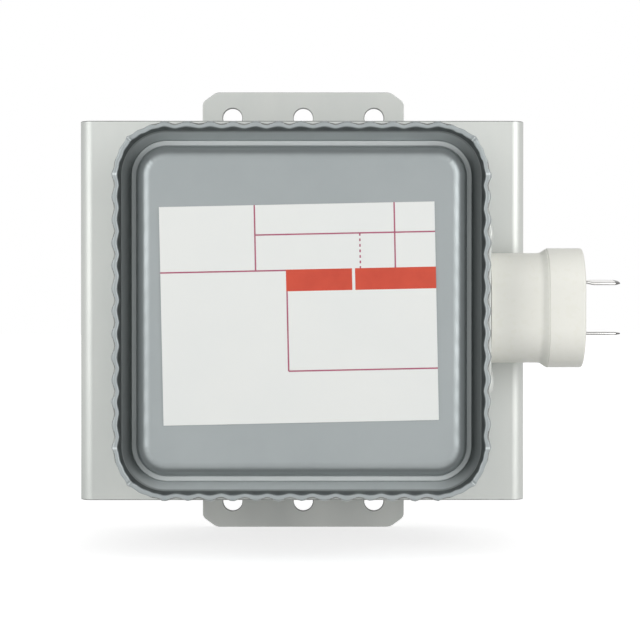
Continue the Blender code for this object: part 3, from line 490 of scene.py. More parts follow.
ZINC = Finish(
    "zinc_plate", Slot.ZINC_STEEL, (0.57, 0.585, 0.56), (0.53, 0.55, 0.53),
    metallic=0.6, gloss=(0.42, 0.52), blotch_scale=70.0, grain_scale=2600.0, stretch=(1.0, 1.0, 0.3),
)
PRESSED = Finish(
    "pressed_plate", Slot.PRESSED_STEEL, (0.385, 0.415, 0.42), (0.35, 0.38, 0.385),
    metallic=0.5, gloss=(0.42, 0.52), blotch_scale=55.0, grain_scale=900.0,
)
# The lid's finish carries painted shade and light in the moat and painted glints at the rim.
LID_PLATE = ShadedLidFinish(
    "lid_plate", Slot.PRESSED_STEEL, (0.34, 0.37, 0.375), (0.31, 0.34, 0.345),
    metallic=0.5, gloss=(0.34, 0.44), blotch_scale=55.0, grain_scale=900.0,
)
# Sheared steel made darker than bare steel: partly the cut edges' own colour, partly painted shade on
# edges, hole rims and under the lid's fold.
CUT_STEEL_AND_SHADE = Finish(
    "cut_steel_and_shade", Slot.ZINC_STEEL, (0.24, 0.25, 0.24), (0.16, 0.165, 0.16),
    metallic=0.9, gloss=(0.36, 0.5), blotch_scale=300.0, grain_scale=2600.0,
    grain_depth=0.00001, stretch=(1.0, 0.2, 1.0),
)
POLE_IRON = Finish(
    "pole_iron", Slot.PRESSED_STEEL, (0.40, 0.39, 0.37), (0.33, 0.32, 0.30),
    metallic=1.0, gloss=(0.30, 0.45), blotch_scale=120.0, grain_scale=1800.0,
)
FERRITE = SpeckledFinish(
    "magnet_ferrite", Slot.FERRITE, (0.045, 0.045, 0.048), (0.065, 0.064, 0.065),
    metallic=0.0, gloss=(0.55, 0.75), blotch_scale=160.0, grain_scale=1500.0, grain_depth=0.00004,
    speck=(0.14, 0.14, 0.14), speck_scale=1600.0, speck_share=0.36,
)
ALUMINIUM = Finish(
    "fin_sheet", Slot.FIN_ALUMINIUM, (0.74, 0.75, 0.76), (0.66, 0.67, 0.69),
    metallic=1.0, gloss=(0.28, 0.40), blotch_scale=90.0, grain_scale=1200.0,
    grain_depth=0.000008, stretch=(1.0, 1.0, 0.06),
)
COPPER = Finish(
    "bare_copper", Slot.COPPER, (0.74, 0.35, 0.22), (0.50, 0.21, 0.13),
    metallic=1.0, gloss=(0.26, 0.45), blotch_scale=110.0, grain_scale=1400.0, grain_depth=0.000008,
)
ALUMINA = SpeckledFinish(
    "fired_alumina", Slot.ALUMINA, (0.80, 0.66, 0.64), (0.74, 0.58, 0.56),
    metallic=0.0, gloss=(0.38, 0.55), blotch_scale=140.0, grain_scale=2200.0, grain_depth=0.00001,
    speck=(0.62, 0.42, 0.40), speck_scale=2600.0, speck_share=0.34,
)
TUNGSTEN = Finish(
    "drawn_tungsten", Slot.TUNGSTEN, (0.30, 0.29, 0.29), (0.20, 0.19, 0.20),
    metallic=1.0, gloss=(0.35, 0.50), blotch_scale=400.0, grain_scale=3000.0,
)
SEAL_METAL = Finish(
    "seal_sheet", Slot.SEAL_METAL, (0.58, 0.57, 0.55), (0.47, 0.44, 0.40),
    metallic=1.0, gloss=(0.20, 0.36), blotch_scale=130.0, grain_scale=1700.0,
)
WIRE = Finish(
    "gasket_wire", Slot.WIRE_MESH, (0.66, 0.65, 0.62), (0.50, 0.48, 0.44),
    metallic=1.0, gloss=(0.30, 0.50), blotch_scale=500.0, grain_scale=4000.0, grain_depth=0.00001,
)
PLASTIC = SpeckledFinish(
    "moulded_case", Slot.WHITE_PLASTIC, (0.92, 0.915, 0.85), (0.91, 0.905, 0.83),
    metallic=0.0, gloss=(0.34, 0.46), blotch_scale=60.0, grain_scale=1500.0, grain_depth=0.000012,
    speck=(0.905, 0.90, 0.825), speck_scale=900.0, speck_share=0.42,
)
TINNED = Finish(
    "tinned_blade", Slot.TINNED_METAL, (0.86, 0.855, 0.84), (0.78, 0.77, 0.75),
    metallic=0.9, gloss=(0.26, 0.38), blotch_scale=260.0, grain_scale=2600.0, stretch=(0.2, 1.0, 1.0),
)
# Painted shade on the blades' rounded edges and on the upper blade's tip.
BLADE_EDGE_SHADE = Finish(
    "blade_edge_shade", Slot.TINNED_METAL, (0.16, 0.155, 0.15), (0.09, 0.09, 0.09),
    metallic=0.4, gloss=(0.34, 0.46), blotch_scale=320.0, grain_scale=2600.0, stretch=(0.2, 1.0, 1.0),
)
PAPER = Finish(
    "sticker_film", Slot.STICKER, (0.87, 0.885, 0.86), (0.85, 0.87, 0.85),
    metallic=0.0, gloss=(0.42, 0.55), blotch_scale=45.0, grain_scale=1800.0,
)
RULE_INK = Finish(
    "rule_ink", Slot.STICKER, (0.42, 0.09, 0.16), (0.36, 0.07, 0.13),
    metallic=0.0, gloss=(0.40, 0.52), blotch_scale=300.0, grain_scale=1800.0, grain_depth=0.000004,
)
BAR_INK = Finish(
    "bar_ink", Slot.STICKER, (0.66, 0.075, 0.035), (0.58, 0.06, 0.028),
    metallic=0.0, gloss=(0.40, 0.52), blotch_scale=200.0, grain_scale=1800.0, grain_depth=0.000004,
)


# Bench work: the steps of modelling by hand

class Facing(Enum):
    """The side that a flat blank faces, as the turn that a new plane needs."""

    FRONT = (math.pi / 2, 0.0, 0.0)
    RIGHT = (math.pi / 2, 0.0, math.pi / 2)


def deselect() -> None:
    """Goes back to object mode with nothing selected."""
    if bpy.context.mode != "OBJECT":
        bpy.ops.object.mode_set(mode="OBJECT")
    bpy.ops.object.select_all(action="DESELECT")


def take(piece: Piece) -> None:
    """Makes the piece the only one selected and the active one."""
    deselect()
    piece.select_set(True)
    bpy.context.view_layer.objects.active = piece


@contextmanager
def editing(piece: Piece, mode: str = "FACE") -> Iterator[None]:
    """Holds the piece in edit mode with all of it selected.

    Args:
        piece: the mesh object.
        mode: the kind of element that is selected, VERT, EDGE or FACE.
    """
    take(piece)
    bpy.ops.object.mode_set(mode="EDIT")
    bpy.ops.mesh.select_mode(type=mode)
    bpy.ops.mesh.select_all(action="SELECT")
    yield
    bpy.ops.object.mode_set(mode="OBJECT")


def select_where(piece: Piece, mode: str, wanted: Callable[[Vector], bool]) -> None:
    """Selects the vertices, edges or faces whose every corner passes the test.

    Args:
        piece: the mesh object, in edit mode.
        mode: VERT, EDGE or FACE.
        wanted: the test of one corner's place.
    """
    bpy.ops.mesh.select_mode(type=mode)
    bpy.ops.mesh.select_all(action="DESELECT")
    shape = bmesh.from_edit_mesh(piece.data)
    if mode == "VERT":
        items = [vert for vert in shape.verts if wanted(vert.co)]
    else:
        pool = shape.edges if mode == "EDGE" else shape.faces
        items = [item for item in pool if all(wanted(vert.co) for vert in item.verts)]
    for item in items:
        item.select_set(True)
    bmesh.update_edit_mesh(piece.data)


def named(name: str) -> Piece:
    """Names the object that was just added and bakes its place into its mesh.

    Args:
        name: the piece's name.

    Returns:
        The object.
    """
    piece = bpy.context.object
    piece.name = piece.data.name = name
    bpy.ops.object.transform_apply()
    return piece


def blank(
    name: str, size: tuple[float, float], place: Sequence[float], facing: Facing = Facing.FRONT
) -> Piece:
    """A flat blank to shape further.

    Args:
        name: the piece's name.
        size: its width and height.
        place: its middle.
        facing: the side that it faces.

    Returns:
        The new object, its mesh in the part's frame.
    """
    deselect()
    bpy.ops.mesh.primitive_plane_add(size=1, location=place, rotation=facing.value)
    bpy.context.object.scale = (*size, 1)
    return named(name)


def trace(name: str, points: Sequence[Vector]) -> Piece:
    """A line of edges, drawn vertex by vertex.

    Args:
        name: the piece's name.
        points: the line's points.

    Returns:
        The new object.
    """
    piece = blank(name, (SEAT_GAP, SEAT_GAP), points[0], Facing.FRONT)
    with editing(piece, "VERT"):
        bpy.ops.mesh.merge(type="CENTER")
        for before, after in zip(points, points[1:]):
            bpy.ops.mesh.extrude_vertices_move(TRANSFORM_OT_translate={"value": after - before})
    return piece


def weld(piece: Piece) -> None:
    """Merges doubled vertices and turns all faces outwards."""
    with editing(piece):
        bpy.ops.mesh.remove_doubles(threshold=WELD)
        bpy.ops.mesh.normals_make_consistent(inside=False)


def revolved(name: str, section: Section, facets: int = LARGE_ROUND, closed: bool = True) -> Piece:
    """A section turned about the Y axis.

    Args:
        name: the piece's name.
        section: its (radius, y) points.
        facets: steps of a full turn.
        closed: whether the last point joins the first.

    Returns:
        The new object.
    """
    ring = section + section[:1] if closed else section
    piece = trace(name, [Vector((radius, y, 0)) for radius, y in ring])
    with editing(piece, "EDGE"):
        bpy.ops.mesh.spin(steps=facets, angle=math.tau, center=(0, 0, 0), axis=(0, 1, 0))
    weld(piece)
    return piece


def modified(piece: Piece, kind: str, **settings: object) -> None:
    """Adds a modifier and applies it.

    Args:
        piece: the object.
        kind: the modifier's type.
        **settings: its values.
    """
    take(piece)
    modifier = piece.modifiers.new(kind.lower(), kind)
    for name, value in settings.items():
        setattr(modifier, name, value)
    bpy.ops.object.modifier_apply(modifier=modifier.name)


def thicken(piece: Piece, sheet: float) -> None:
    """Gives a skin the thickness of its sheet, behind its face."""
    modified(piece, "SOLIDIFY", thickness=sheet, offset=-1.0, use_even_offset=True)


def soften(piece: Piece, width: float, segments: int = 2, angle: float = 40.0) -> None:
    """Rounds every edge that turns by more than the angle, in degrees."""
    modified(
        piece, "BEVEL", width=width, segments=segments, limit_method="ANGLE",
        angle_limit=math.radians(angle), use_clamp_overlap=True,
    )


def push(x: float = 0.0, y: float = 0.0, z: float = 0.0) -> None:
    """Extrudes what is selected by a distance along X, Y and Z."""
    bpy.ops.mesh.extrude_region_move(TRANSFORM_OT_translate={"value": (x, y, z)})


def slice_at(axis: Vector, places: Iterable[float]) -> None:
    """Cuts new edges into the mesh in edit mode, across the axis at each place.

    Args:
        axis: the axis.
        places: the places along it.
    """
    for place in places:
        bpy.ops.mesh.select_all(action="SELECT")
        bpy.ops.mesh.bisect(plane_co=axis * place, plane_no=axis)


def turn_flaps(piece: Piece, ends: Vector, depth: float, bend: float, segments: int) -> None:
    """Turns up a flap at both ends of a flat blank in edit mode, with rounded bends.

    Args:
        piece: the blank.
        ends: its end along X, and its place along Y.
        depth: length of the flaps along Y.
        bend: outer radius of the bends.
        segments: steps of a bend.
    """
    for side in (-1, 1):
        select_where(piece, "EDGE", lambda co: co.x * side > ends.x - WELD)
        push(y=depth)
    select_where(piece, "EDGE", lambda co: abs(co.x) > ends.x - WELD and co.y < ends.y + WELD)
    bpy.ops.mesh.bevel(offset=bend, segments=segments, affect="EDGES")


def held(value: float) -> float:
    """Holds a share between 0 and 1."""
    return min(1.0, max(0.0, value))


def round_bar(radius: float, place: Sequence[float], length: float, sides: int = ROUND) -> Piece:
    """A round cutter along Y.

    Args:
        radius: its radius.
        place: its middle.
        length: its length.
        sides: its facets.

    Returns:
        The cutter.
    """
    deselect()
    bpy.ops.mesh.primitive_cylinder_add(
        vertices=sides, radius=radius, depth=length, location=place, rotation=Facing.FRONT.value
    )
    return named("cutter")


def square_bar(size: Sequence[float], place: Sequence[float]) -> Piece:
    """A square cutter.

    Args:
        size: its size along X, Y and Z.
        place: its middle.

    Returns:
        The cutter.
    """
    deselect()
    bpy.ops.mesh.primitive_cube_add(size=1, location=place)
    bpy.context.object.scale = size
    return named("cutter")


def cut(piece: Piece, cutters: Sequence[Piece], operation: str = "DIFFERENCE") -> None:
    """Cuts the cutters out of the piece, or joins them to it, and removes them.

    Args:
        piece: the object.
        cutters: closed objects that don't touch each other.
        operation: DIFFERENCE or UNION.
    """
    take(cutters[0])
    for cutter in cutters:
        cutter.select_set(True)
    bpy.ops.object.join()
    modified(piece, "BOOLEAN", operation=operation, object=cutters[0], solver="EXACT")
    bpy.data.objects.remove(cutters[0])


def copied(piece: Piece, name: str, move: Matrix) -> Piece:
    """A copy with its own mesh, moved to its place.

    Args:
        piece: the first one.
        name: the copy's name.
        move: where the copy goes.

    Returns:
        The copy.
    """
    take(piece)
    bpy.ops.object.duplicate()
    twin = bpy.context.object
    twin.name = twin.data.name = name
    twin.data.transform(move)
    return twin


def finish_dark_faces(
    piece: Piece, finish: Finish, edge: Finish, is_dark: Callable[[Vector, Vector], bool]
) -> None:
    """Gives a sheet its finish, and the faces that the test picks a dark one, for cut edges and painted
    shade.

    Args:
        piece: the sheet.
        finish: the finish of its broad faces.
        edge: the dark finish of those faces.
        is_dark: the test of a face's middle and its outward side.
    """
    for material in (finish, edge):
        piece.data.materials.append(material.material())
    for face in piece.data.polygons:
        face.material_index = int(is_dark(face.center, face.normal))


def done(piece: Piece, node: str, finish: Finish) -> None:
    """Finishes a dressed piece and puts it in the place of its solid.

    Args:
        piece: the dressed piece.
        node: the solid that it replaces.
        finish: its finish.
    """
    weld(piece)
    take(piece)
    bpy.ops.object.shade_smooth_by_angle(angle=SHARP_ANGLE)
    modified(piece, "WEIGHTED_NORMAL", keep_sharp=True)
    if not piece.data.materials:
        piece.data.materials.append(finish.material())
    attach(piece, BODY)
    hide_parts(node)
    LOG.info("%s dressed: %d faces", node, len(piece.data.polygons))


def arc(
    centre: tuple[float, float], radius: float, start: float, end: float, steps: int = 6
) -> Section:
    """Points of an arc about its centre, from the start angle to the end angle in degrees."""
    angles = [math.radians(start + (end - start) * step / steps) for step in range(steps + 1)]
    return [(centre[0] + radius * math.cos(a), centre[1] + radius * math.sin(a)) for a in angles]


def rounded(corners: Sequence[tuple[float, float, float]], steps: int = 6) -> Section:
    """An open line through corners, the inner ones rounded.

    Args:
        corners: (first, second, radius) of each corner.
        steps: steps of each rounding.

    Returns:
        The line's points.
    """
    points = [corners[0][:2]]
    for before, here, after in zip(corners, corners[1:], corners[2:]):
        tip = Vector(here[:2])
        into = (tip - Vector(before[:2])).normalized()
        out = (Vector(after[:2]) - tip).normalized()
        turn = math.atan2(into.cross(out), into.dot(out))
        radius = here[2]
        if radius == 0 or abs(turn) < WELD:
            points.append(here[:2])
            continue
        start = tip - into * radius * math.tan(abs(turn) / 2)
        side = Vector((-into.y, into.x)) * math.copysign(radius, turn)
        for step in range(steps + 1):
            swing = Matrix.Rotation(turn * step / steps, 2)
            points.append(tuple(start + side - swing @ side))
    return [*points, corners[-1][:2]]


def rivet(name: str, length: float, low: float, shank: float = 0.0015, head: float = 0.0026) -> Piece:
    """A rivet along Y, with a domed and dimpled head at each end.

    Args:
        name: the piece's name.
        length: its whole length.
        low: where it starts along Y.
        shank: the shank's radius.
        head: the heads' radius.

    Returns:
        The rivet.
    """
    high = low + length
    lower = [(head * wide, low + RIVET_RISE * deep) for wide, deep in RIVET_HEAD]
    lower.append((shank, low + RIVET_RISE))
    upper = [(radius, low + high - y) for radius, y in lower[::-1]]
    piece = revolved(name, lower + upper, facets=32, closed=False)
    soften(piece, RIVET_RISE / 8, angle=50)
    return piece


def set_rivets(node: str, first: Piece, moves: Sequence[Matrix]) -> None:
    """Puts copies of a rivet in their places and finishes them.

    Args:
        node: the start of the solids' names, before their numbers.
        first: the rivet.
        moves: where each copy goes.
    """
    pieces = [copied(first, f"{node}_{index}_copy", move) for index, move in enumerate(moves, 1)]
    bpy.data.objects.remove(first)
    for index, piece in enumerate(pieces, 1):
        done(piece, f"{node}_{index}", ZINC)


def rivet_places() -> list[tuple[float, float]]:
    """The places of the four box rivets along X and Z."""
    return [(x, z) for x in (-RIVET_SPOT, RIVET_SPOT) for z in (-RIVET_SPOT, RIVET_SPOT)]


def drill(piece: Piece, level: float, length: float, bore: float, sides: int) -> None:
    """Cuts the holes for the box rivets into a sheet, and the bore between them.

    Args:
        piece: the sheet.
        level: its place along Y.
        length: length of the cutters.
        bore: radius of the bore.
        sides: its facets.
    """
    cutters = [round_bar(RIVET_HOLE, (x, level, z), length, SMALL_ROUND) for x, z in rivet_places()]
    cutters.append(round_bar(bore, (0, level, 0), length, sides))
    cut(piece, cutters)


# Sub-assemblies

@dataclass(frozen=True)
class Measures:
    """Places that several sub-assemblies share, read from the solids."""

    plate_low: Vector
    plate_high: Vector
    yoke_low: Vector
    yoke_high: Vector
    box_low: Vector
    box_high: Vector

    @classmethod
    def taken(cls) -> "Measures":
        """Reads the places from the frame."""
        boxes = [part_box(name) for name in ("mounting_plate", "yoke_frame", "filter_box")]
        return cls(*(corner for pair in boxes for corner in pair))


@dataclass
class MagneticCircuit:
    """The mounting plate, the bent yoke and the two ring magnets.

    Attributes:
        measures: the shared places.
        sheet: thickness of the plate and of the yoke.
        ear_width: width of the plate's ears.
        ear_cut: how far a corner of an ear is cut back, along X and Z.
        ear_ease: length of the rounding beside the cut.
        corner: rounding of the plate's other corners.
        hole: width of a mounting hole.
        hole_pitch: spacing of the holes in a row.
        hole_edge: distance of a row from its ear's end.
        bore: radius of the bore in the plate and in the yoke.
        tongue: width of a staked tongue.
        tongue_spacing: spacing of the two tongues of an arm.
        bend: outer radius of the yoke's bends.
        edge: rounding of a cut edge.
        across: share of a face's outward side along Y under which it is a cut edge of the plate, finished
            dark.
        flat: the same share from which it is a broad face; under it the rims beside a hole get painted
            shade.
        end: share of a face's outward side along Z above which it is a cut edge of the yoke, finished dark.
        magnet_outer: outer radius of a magnet.
        magnet_edge: broken edge of a magnet.
    """

    measures: Measures
    sheet: float = 0.0016
    ear_width: float = 0.0484
    ear_cut: tuple[float, float] = (0.0033, 0.0024)
    ear_ease: float = 0.0008
    corner: float = 0.0032
    hole: float = 0.0046
    hole_pitch: float = 0.017
    hole_edge: float = 0.0062
    bore: float = 0.0105
    tongue: float = 0.009
    tongue_spacing: float = 0.050
    bend: float = 0.0028
    edge: float = 0.00018
    across: float = 0.5
    flat: float = 0.99
    end: float = 0.2
    magnet_outer: float = 0.0275
    magnet_edge: float = 0.0008

    def build(self) -> None:
        """Builds and dresses the whole circuit."""
        self.plate()
        self.yoke()
        self.magnets()

    def plate(self) -> None:
        """The plate across the arms, with its drilled ears."""
        low, high = self.measures.plate_low, self.measures.plate_high
        width, height = self.measures.yoke_high.x * 2, self.measures.yoke_high.z * 2
        half_ear, shoulder = self.ear_width / 2, height / 2
        back, rise = self.ear_cut
        piece = blank("plate_dressed", (width, height), (0, low.y, 0))
        with editing(piece):
            slice_at(ALONG_X, (-half_ear, half_ear))
            for side in (-1, 1):
                select_where(
                    piece, "EDGE",
                    lambda co: abs(co.x) < half_ear + WELD and co.z * side > shoulder - WELD,
                )
                push(z=side * (high.z - shoulder - rise))
                push(z=side * rise)
                bpy.ops.transform.resize(value=(1 - back / half_ear, 1, 1), center_override=(0, 0, 0))
            bpy.ops.mesh.select_all(action="SELECT")
            bpy.ops.mesh.dissolve_limited(angle_limit=math.radians(1))
            select_where(piece, "VERT", lambda co: abs(co.z) > high.z - rise - WELD)
            bpy.ops.mesh.bevel(offset=self.ear_ease, segments=6, affect="VERTICES")
            select_where(piece, "VERT", lambda co: abs(abs(co.z) - shoulder) < WELD)
            bpy.ops.mesh.bevel(offset=self.corner, segments=8, affect="VERTICES")
        thicken(piece, self.sheet)
        middle, bar = (low.y + high.y) / 2, 4 * self.sheet
        row = high.z - self.hole_edge
        spots = [(column * self.hole_pitch, z) for z in (-row, row) for column in (-1, 0, 1)]
        cutters = [round_bar(self.hole / 2, (x, middle, z), bar) for x, z in spots]
        cutters.append(round_bar(self.bore, (0, middle, 0), bar, LARGE_ROUND))
        notch = (2 * (self.sheet + SEAT_GAP), bar, self.tongue + 2 * SEAT_GAP)
        for x in (-width / 2, width / 2):
            for z in (-self.tongue_spacing / 2, self.tongue_spacing / 2):
                cutters.append(square_bar(notch, (x, middle, z)))
        cut(piece, cutters)
        soften(piece, self.edge)
        reach = self.hole / 2 + 2 * self.edge
        # Cut edges finished dark, partly bare steel and partly painted shade; the holes' rounded rims as
        # painted shade.
        finish_dark_faces(
            piece, ZINC, CUT_STEEL_AND_SHADE,
            lambda place, side: abs(side.y) < self.across or abs(side.y) < self.flat
            and any((place.xz - Vector(spot)).length < reach for spot in spots),
        )
        done(piece, "mounting_plate", ZINC)

    def yoke(self) -> None:
        """The U of bent strip, with the tongues that are staked in the plate."""
        low, high = self.measures.yoke_low, self.measures.yoke_high
        arm_end = self.measures.plate_low.y - SEAT_GAP
        half = self.tongue / 2
        piece = blank("yoke_dressed", (high.x * 2, high.z * 2), (0, low.y, 0))
        with editing(piece):
            turn_flaps(piece, Vector((high.x, low.y)), arm_end - low.y, self.bend, segments=10)
            for middle in (-self.tongue_spacing / 2, self.tongue_spacing / 2):
                slice_at(ALONG_Z, (middle - half, middle + half))
                select_where(
                    piece, "EDGE",
                    lambda co: co.y > arm_end - WELD and abs(co.z - middle) < half + WELD,
                )
                push(y=high.y - arm_end)
            bpy.ops.mesh.select_all(action="SELECT")
            bpy.ops.mesh.normals_make_consistent(inside=False)
        thicken(piece, self.sheet)
        drill(piece, low.y, 4 * self.sheet, self.bore, LARGE_ROUND)
        soften(piece, self.edge)
        # The yoke's upper and lower cut edges finished dark, partly bare steel and partly painted shade.
        finish_dark_faces(piece, ZINC, CUT_STEEL_AND_SHADE, lambda place, side: abs(side.z) > self.end)
        done(piece, "yoke_frame", ZINC)

    def magnets(self) -> None:
        """The two pressed ferrite rings."""
        edge, outer, inner = self.magnet_edge, self.magnet_outer, self.bore
        small = edge / 4
        for node in ("magnet_antenna_side", "magnet_filter_side"):
            low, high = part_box(node)
            upper = [(inner, high.y - small), (inner + small, high.y), (outer - edge, high.y)]
            lower = [(outer - edge, low.y), (inner + small, low.y), (inner, low.y + small)]
            rim = [(outer, high.y - edge), (outer, low.y + edge)]
            piece = revolved(f"{node}_dressed", upper + rim + lower, FINE_ROUND)
            soften(piece, edge / 5)
            done(piece, node, FERRITE)


@dataclass(frozen=True)
class Crimp:
    """The waved rim that locks the box and the lid together, uneven as a pressed one is.

    Attributes:
        half: half the box's width.
        corner: rounding of its corners.
        side_waves: waves along a side.
        corner_waves: waves round a corner.
        swing: how far a crest and a valley lie from the plain wall.
        belly: how far the box's sheet bulges under the folded edge, at a crest.
        tuck: how far the box's rim is drawn in under the fold.
        depth: how far below the rim the waves run out.
        uneven: share by which the waves differ.
        lumps: how often that changes in a metre, for both sheets alike and for each by itself.
        own: how much of it each sheet has by itself.
        drift: how far it moves a wave along the rim.
        pinch: how much of a wave is pinched and not rolled.
        fade: the power with which the waves run out below the rim.
        bulge: the power of the belly's rounding.
        drawn: where the tuck starts towards the rim, and how soon it is full, in depths.
        droop: how far the valleys sink below the rim.
        fold: how deep a facet between two folds of a corner lies, in swings.
        ripple: height of the small waves in such a facet, in swings.
        split: how deep the sheet is split at a corner's middle fold.
        split_width: half the split's width, in waves.
        split_fade: the power with which it runs out.
    """

    half: float
    corner: float = 0.0102
    side_waves: int = 12
    corner_waves: int = 2
    swing: float = 0.00022
    belly: float = 0.00044
    tuck: float = 0.00041
    depth: float = 0.0045
    uneven: float = 0.30
    lumps: tuple[float, float] = (260.0, 420.0)
    own: float = 0.25
    drift: float = 0.2
    pinch: float = 0.4
    fade: float = 1.4
    bulge: float = 1.5
    drawn: tuple[float, float] = (0.72, 0.12)
    droop: float = 0.00014
    fold: float = 1.2
    ripple: float = 0.6
    split: float = 0.0004
    split_width: float = 0.05
    split_fade: float = 8.0

    def place(self, x: float, z: float) -> tuple[float, bool, Vector]:
        """Finds a point of the rim.

        Args:
            x: the point's place along X.
            z: the point's place along Z.

        Returns:
            The place along the rim in waves, whether it is round a corner, and the outward side.
        """
        middle = self.half - self.corner
        past_x, past_z = abs(x) - middle, abs(z) - middle
        if past_x > 0 and past_z > 0:
            side = Vector((math.copysign(past_x, x), 0, math.copysign(past_z, z))).normalized()
            return math.atan2(past_z, past_x) / (math.pi / 2) * self.corner_waves, True, side
        if past_z > past_x:
            return (x / middle + 1) / 2 * self.side_waves, False, Vector((0, 0, math.copysign(1, z)))
        return (z / middle + 1) / 2 * self.side_waves, False, Vector((math.copysign(1, x), 0, 0))

    def height(self, count: float, at_corner: bool) -> float:
        """The wave's height: rolled and pinched along a side, folded in facets round a corner.

        Args:
            count: the place along the rim in waves.
            at_corner: whether it is round a corner.

        Returns:
            1 at a crest, -1 in a valley.
        """
        if at_corner:
            small = (1 - math.cos(3 * math.tau * count)) / 2
            return 1 - self.fold * abs(math.sin(math.pi * count)) - self.ripple * small
        rolled = math.cos(math.tau * count)
        pinched = 2 * abs(math.cos(math.pi * count)) - 1
        return (1 - self.pinch) * rolled + self.pinch * pinched

    def wave(self, piece: Piece, rim: float, seed: float, belly: float, tuck: float) -> None:
        """Waves the sheet near the rim.

        Args:
            piece: the skin of the box or of the lid.
            rim: the rim's place along Y.
            seed: keeps the two sheets from being quite alike.
            belly: how far this sheet bulges under the folded edge.
            tuck: how far this sheet is drawn in under it.
        """
        for vert in piece.data.vertices:
            share = 1 - (vert.co.y - rim) / self.depth
            if share <= 0:
                continue
            count, at_corner, side = self.place(vert.co.x, vert.co.z)
            spot = Vector((vert.co.x, 0, vert.co.z))
            rough = noise.noise(spot * self.lumps[0]) * self.uneven
            own = noise.noise((spot + ALONG_X * seed) * self.lumps[1]) * self.uneven * self.own
            level = self.height(count + self.drift * rough, at_corner) * (1 + rough + own)
            waved = self.swing * level * share ** self.fade
            bulged = belly * max(0.0, level) * max(0.0, math.sin(math.pi * (1 - share))) ** self.bulge
            tucked = tuck * held((share - self.drawn[0]) / self.drawn[1])
            vert.co += side * (waved + bulged - tucked)
            vert.co.y += self.droop * (1 - min(level, 1) + abs(own)) / 2 * share
            if at_corner and abs(count - self.corner_waves / 2) < self.split_width:
                vert.co.y += self.split * share ** self.split_fade


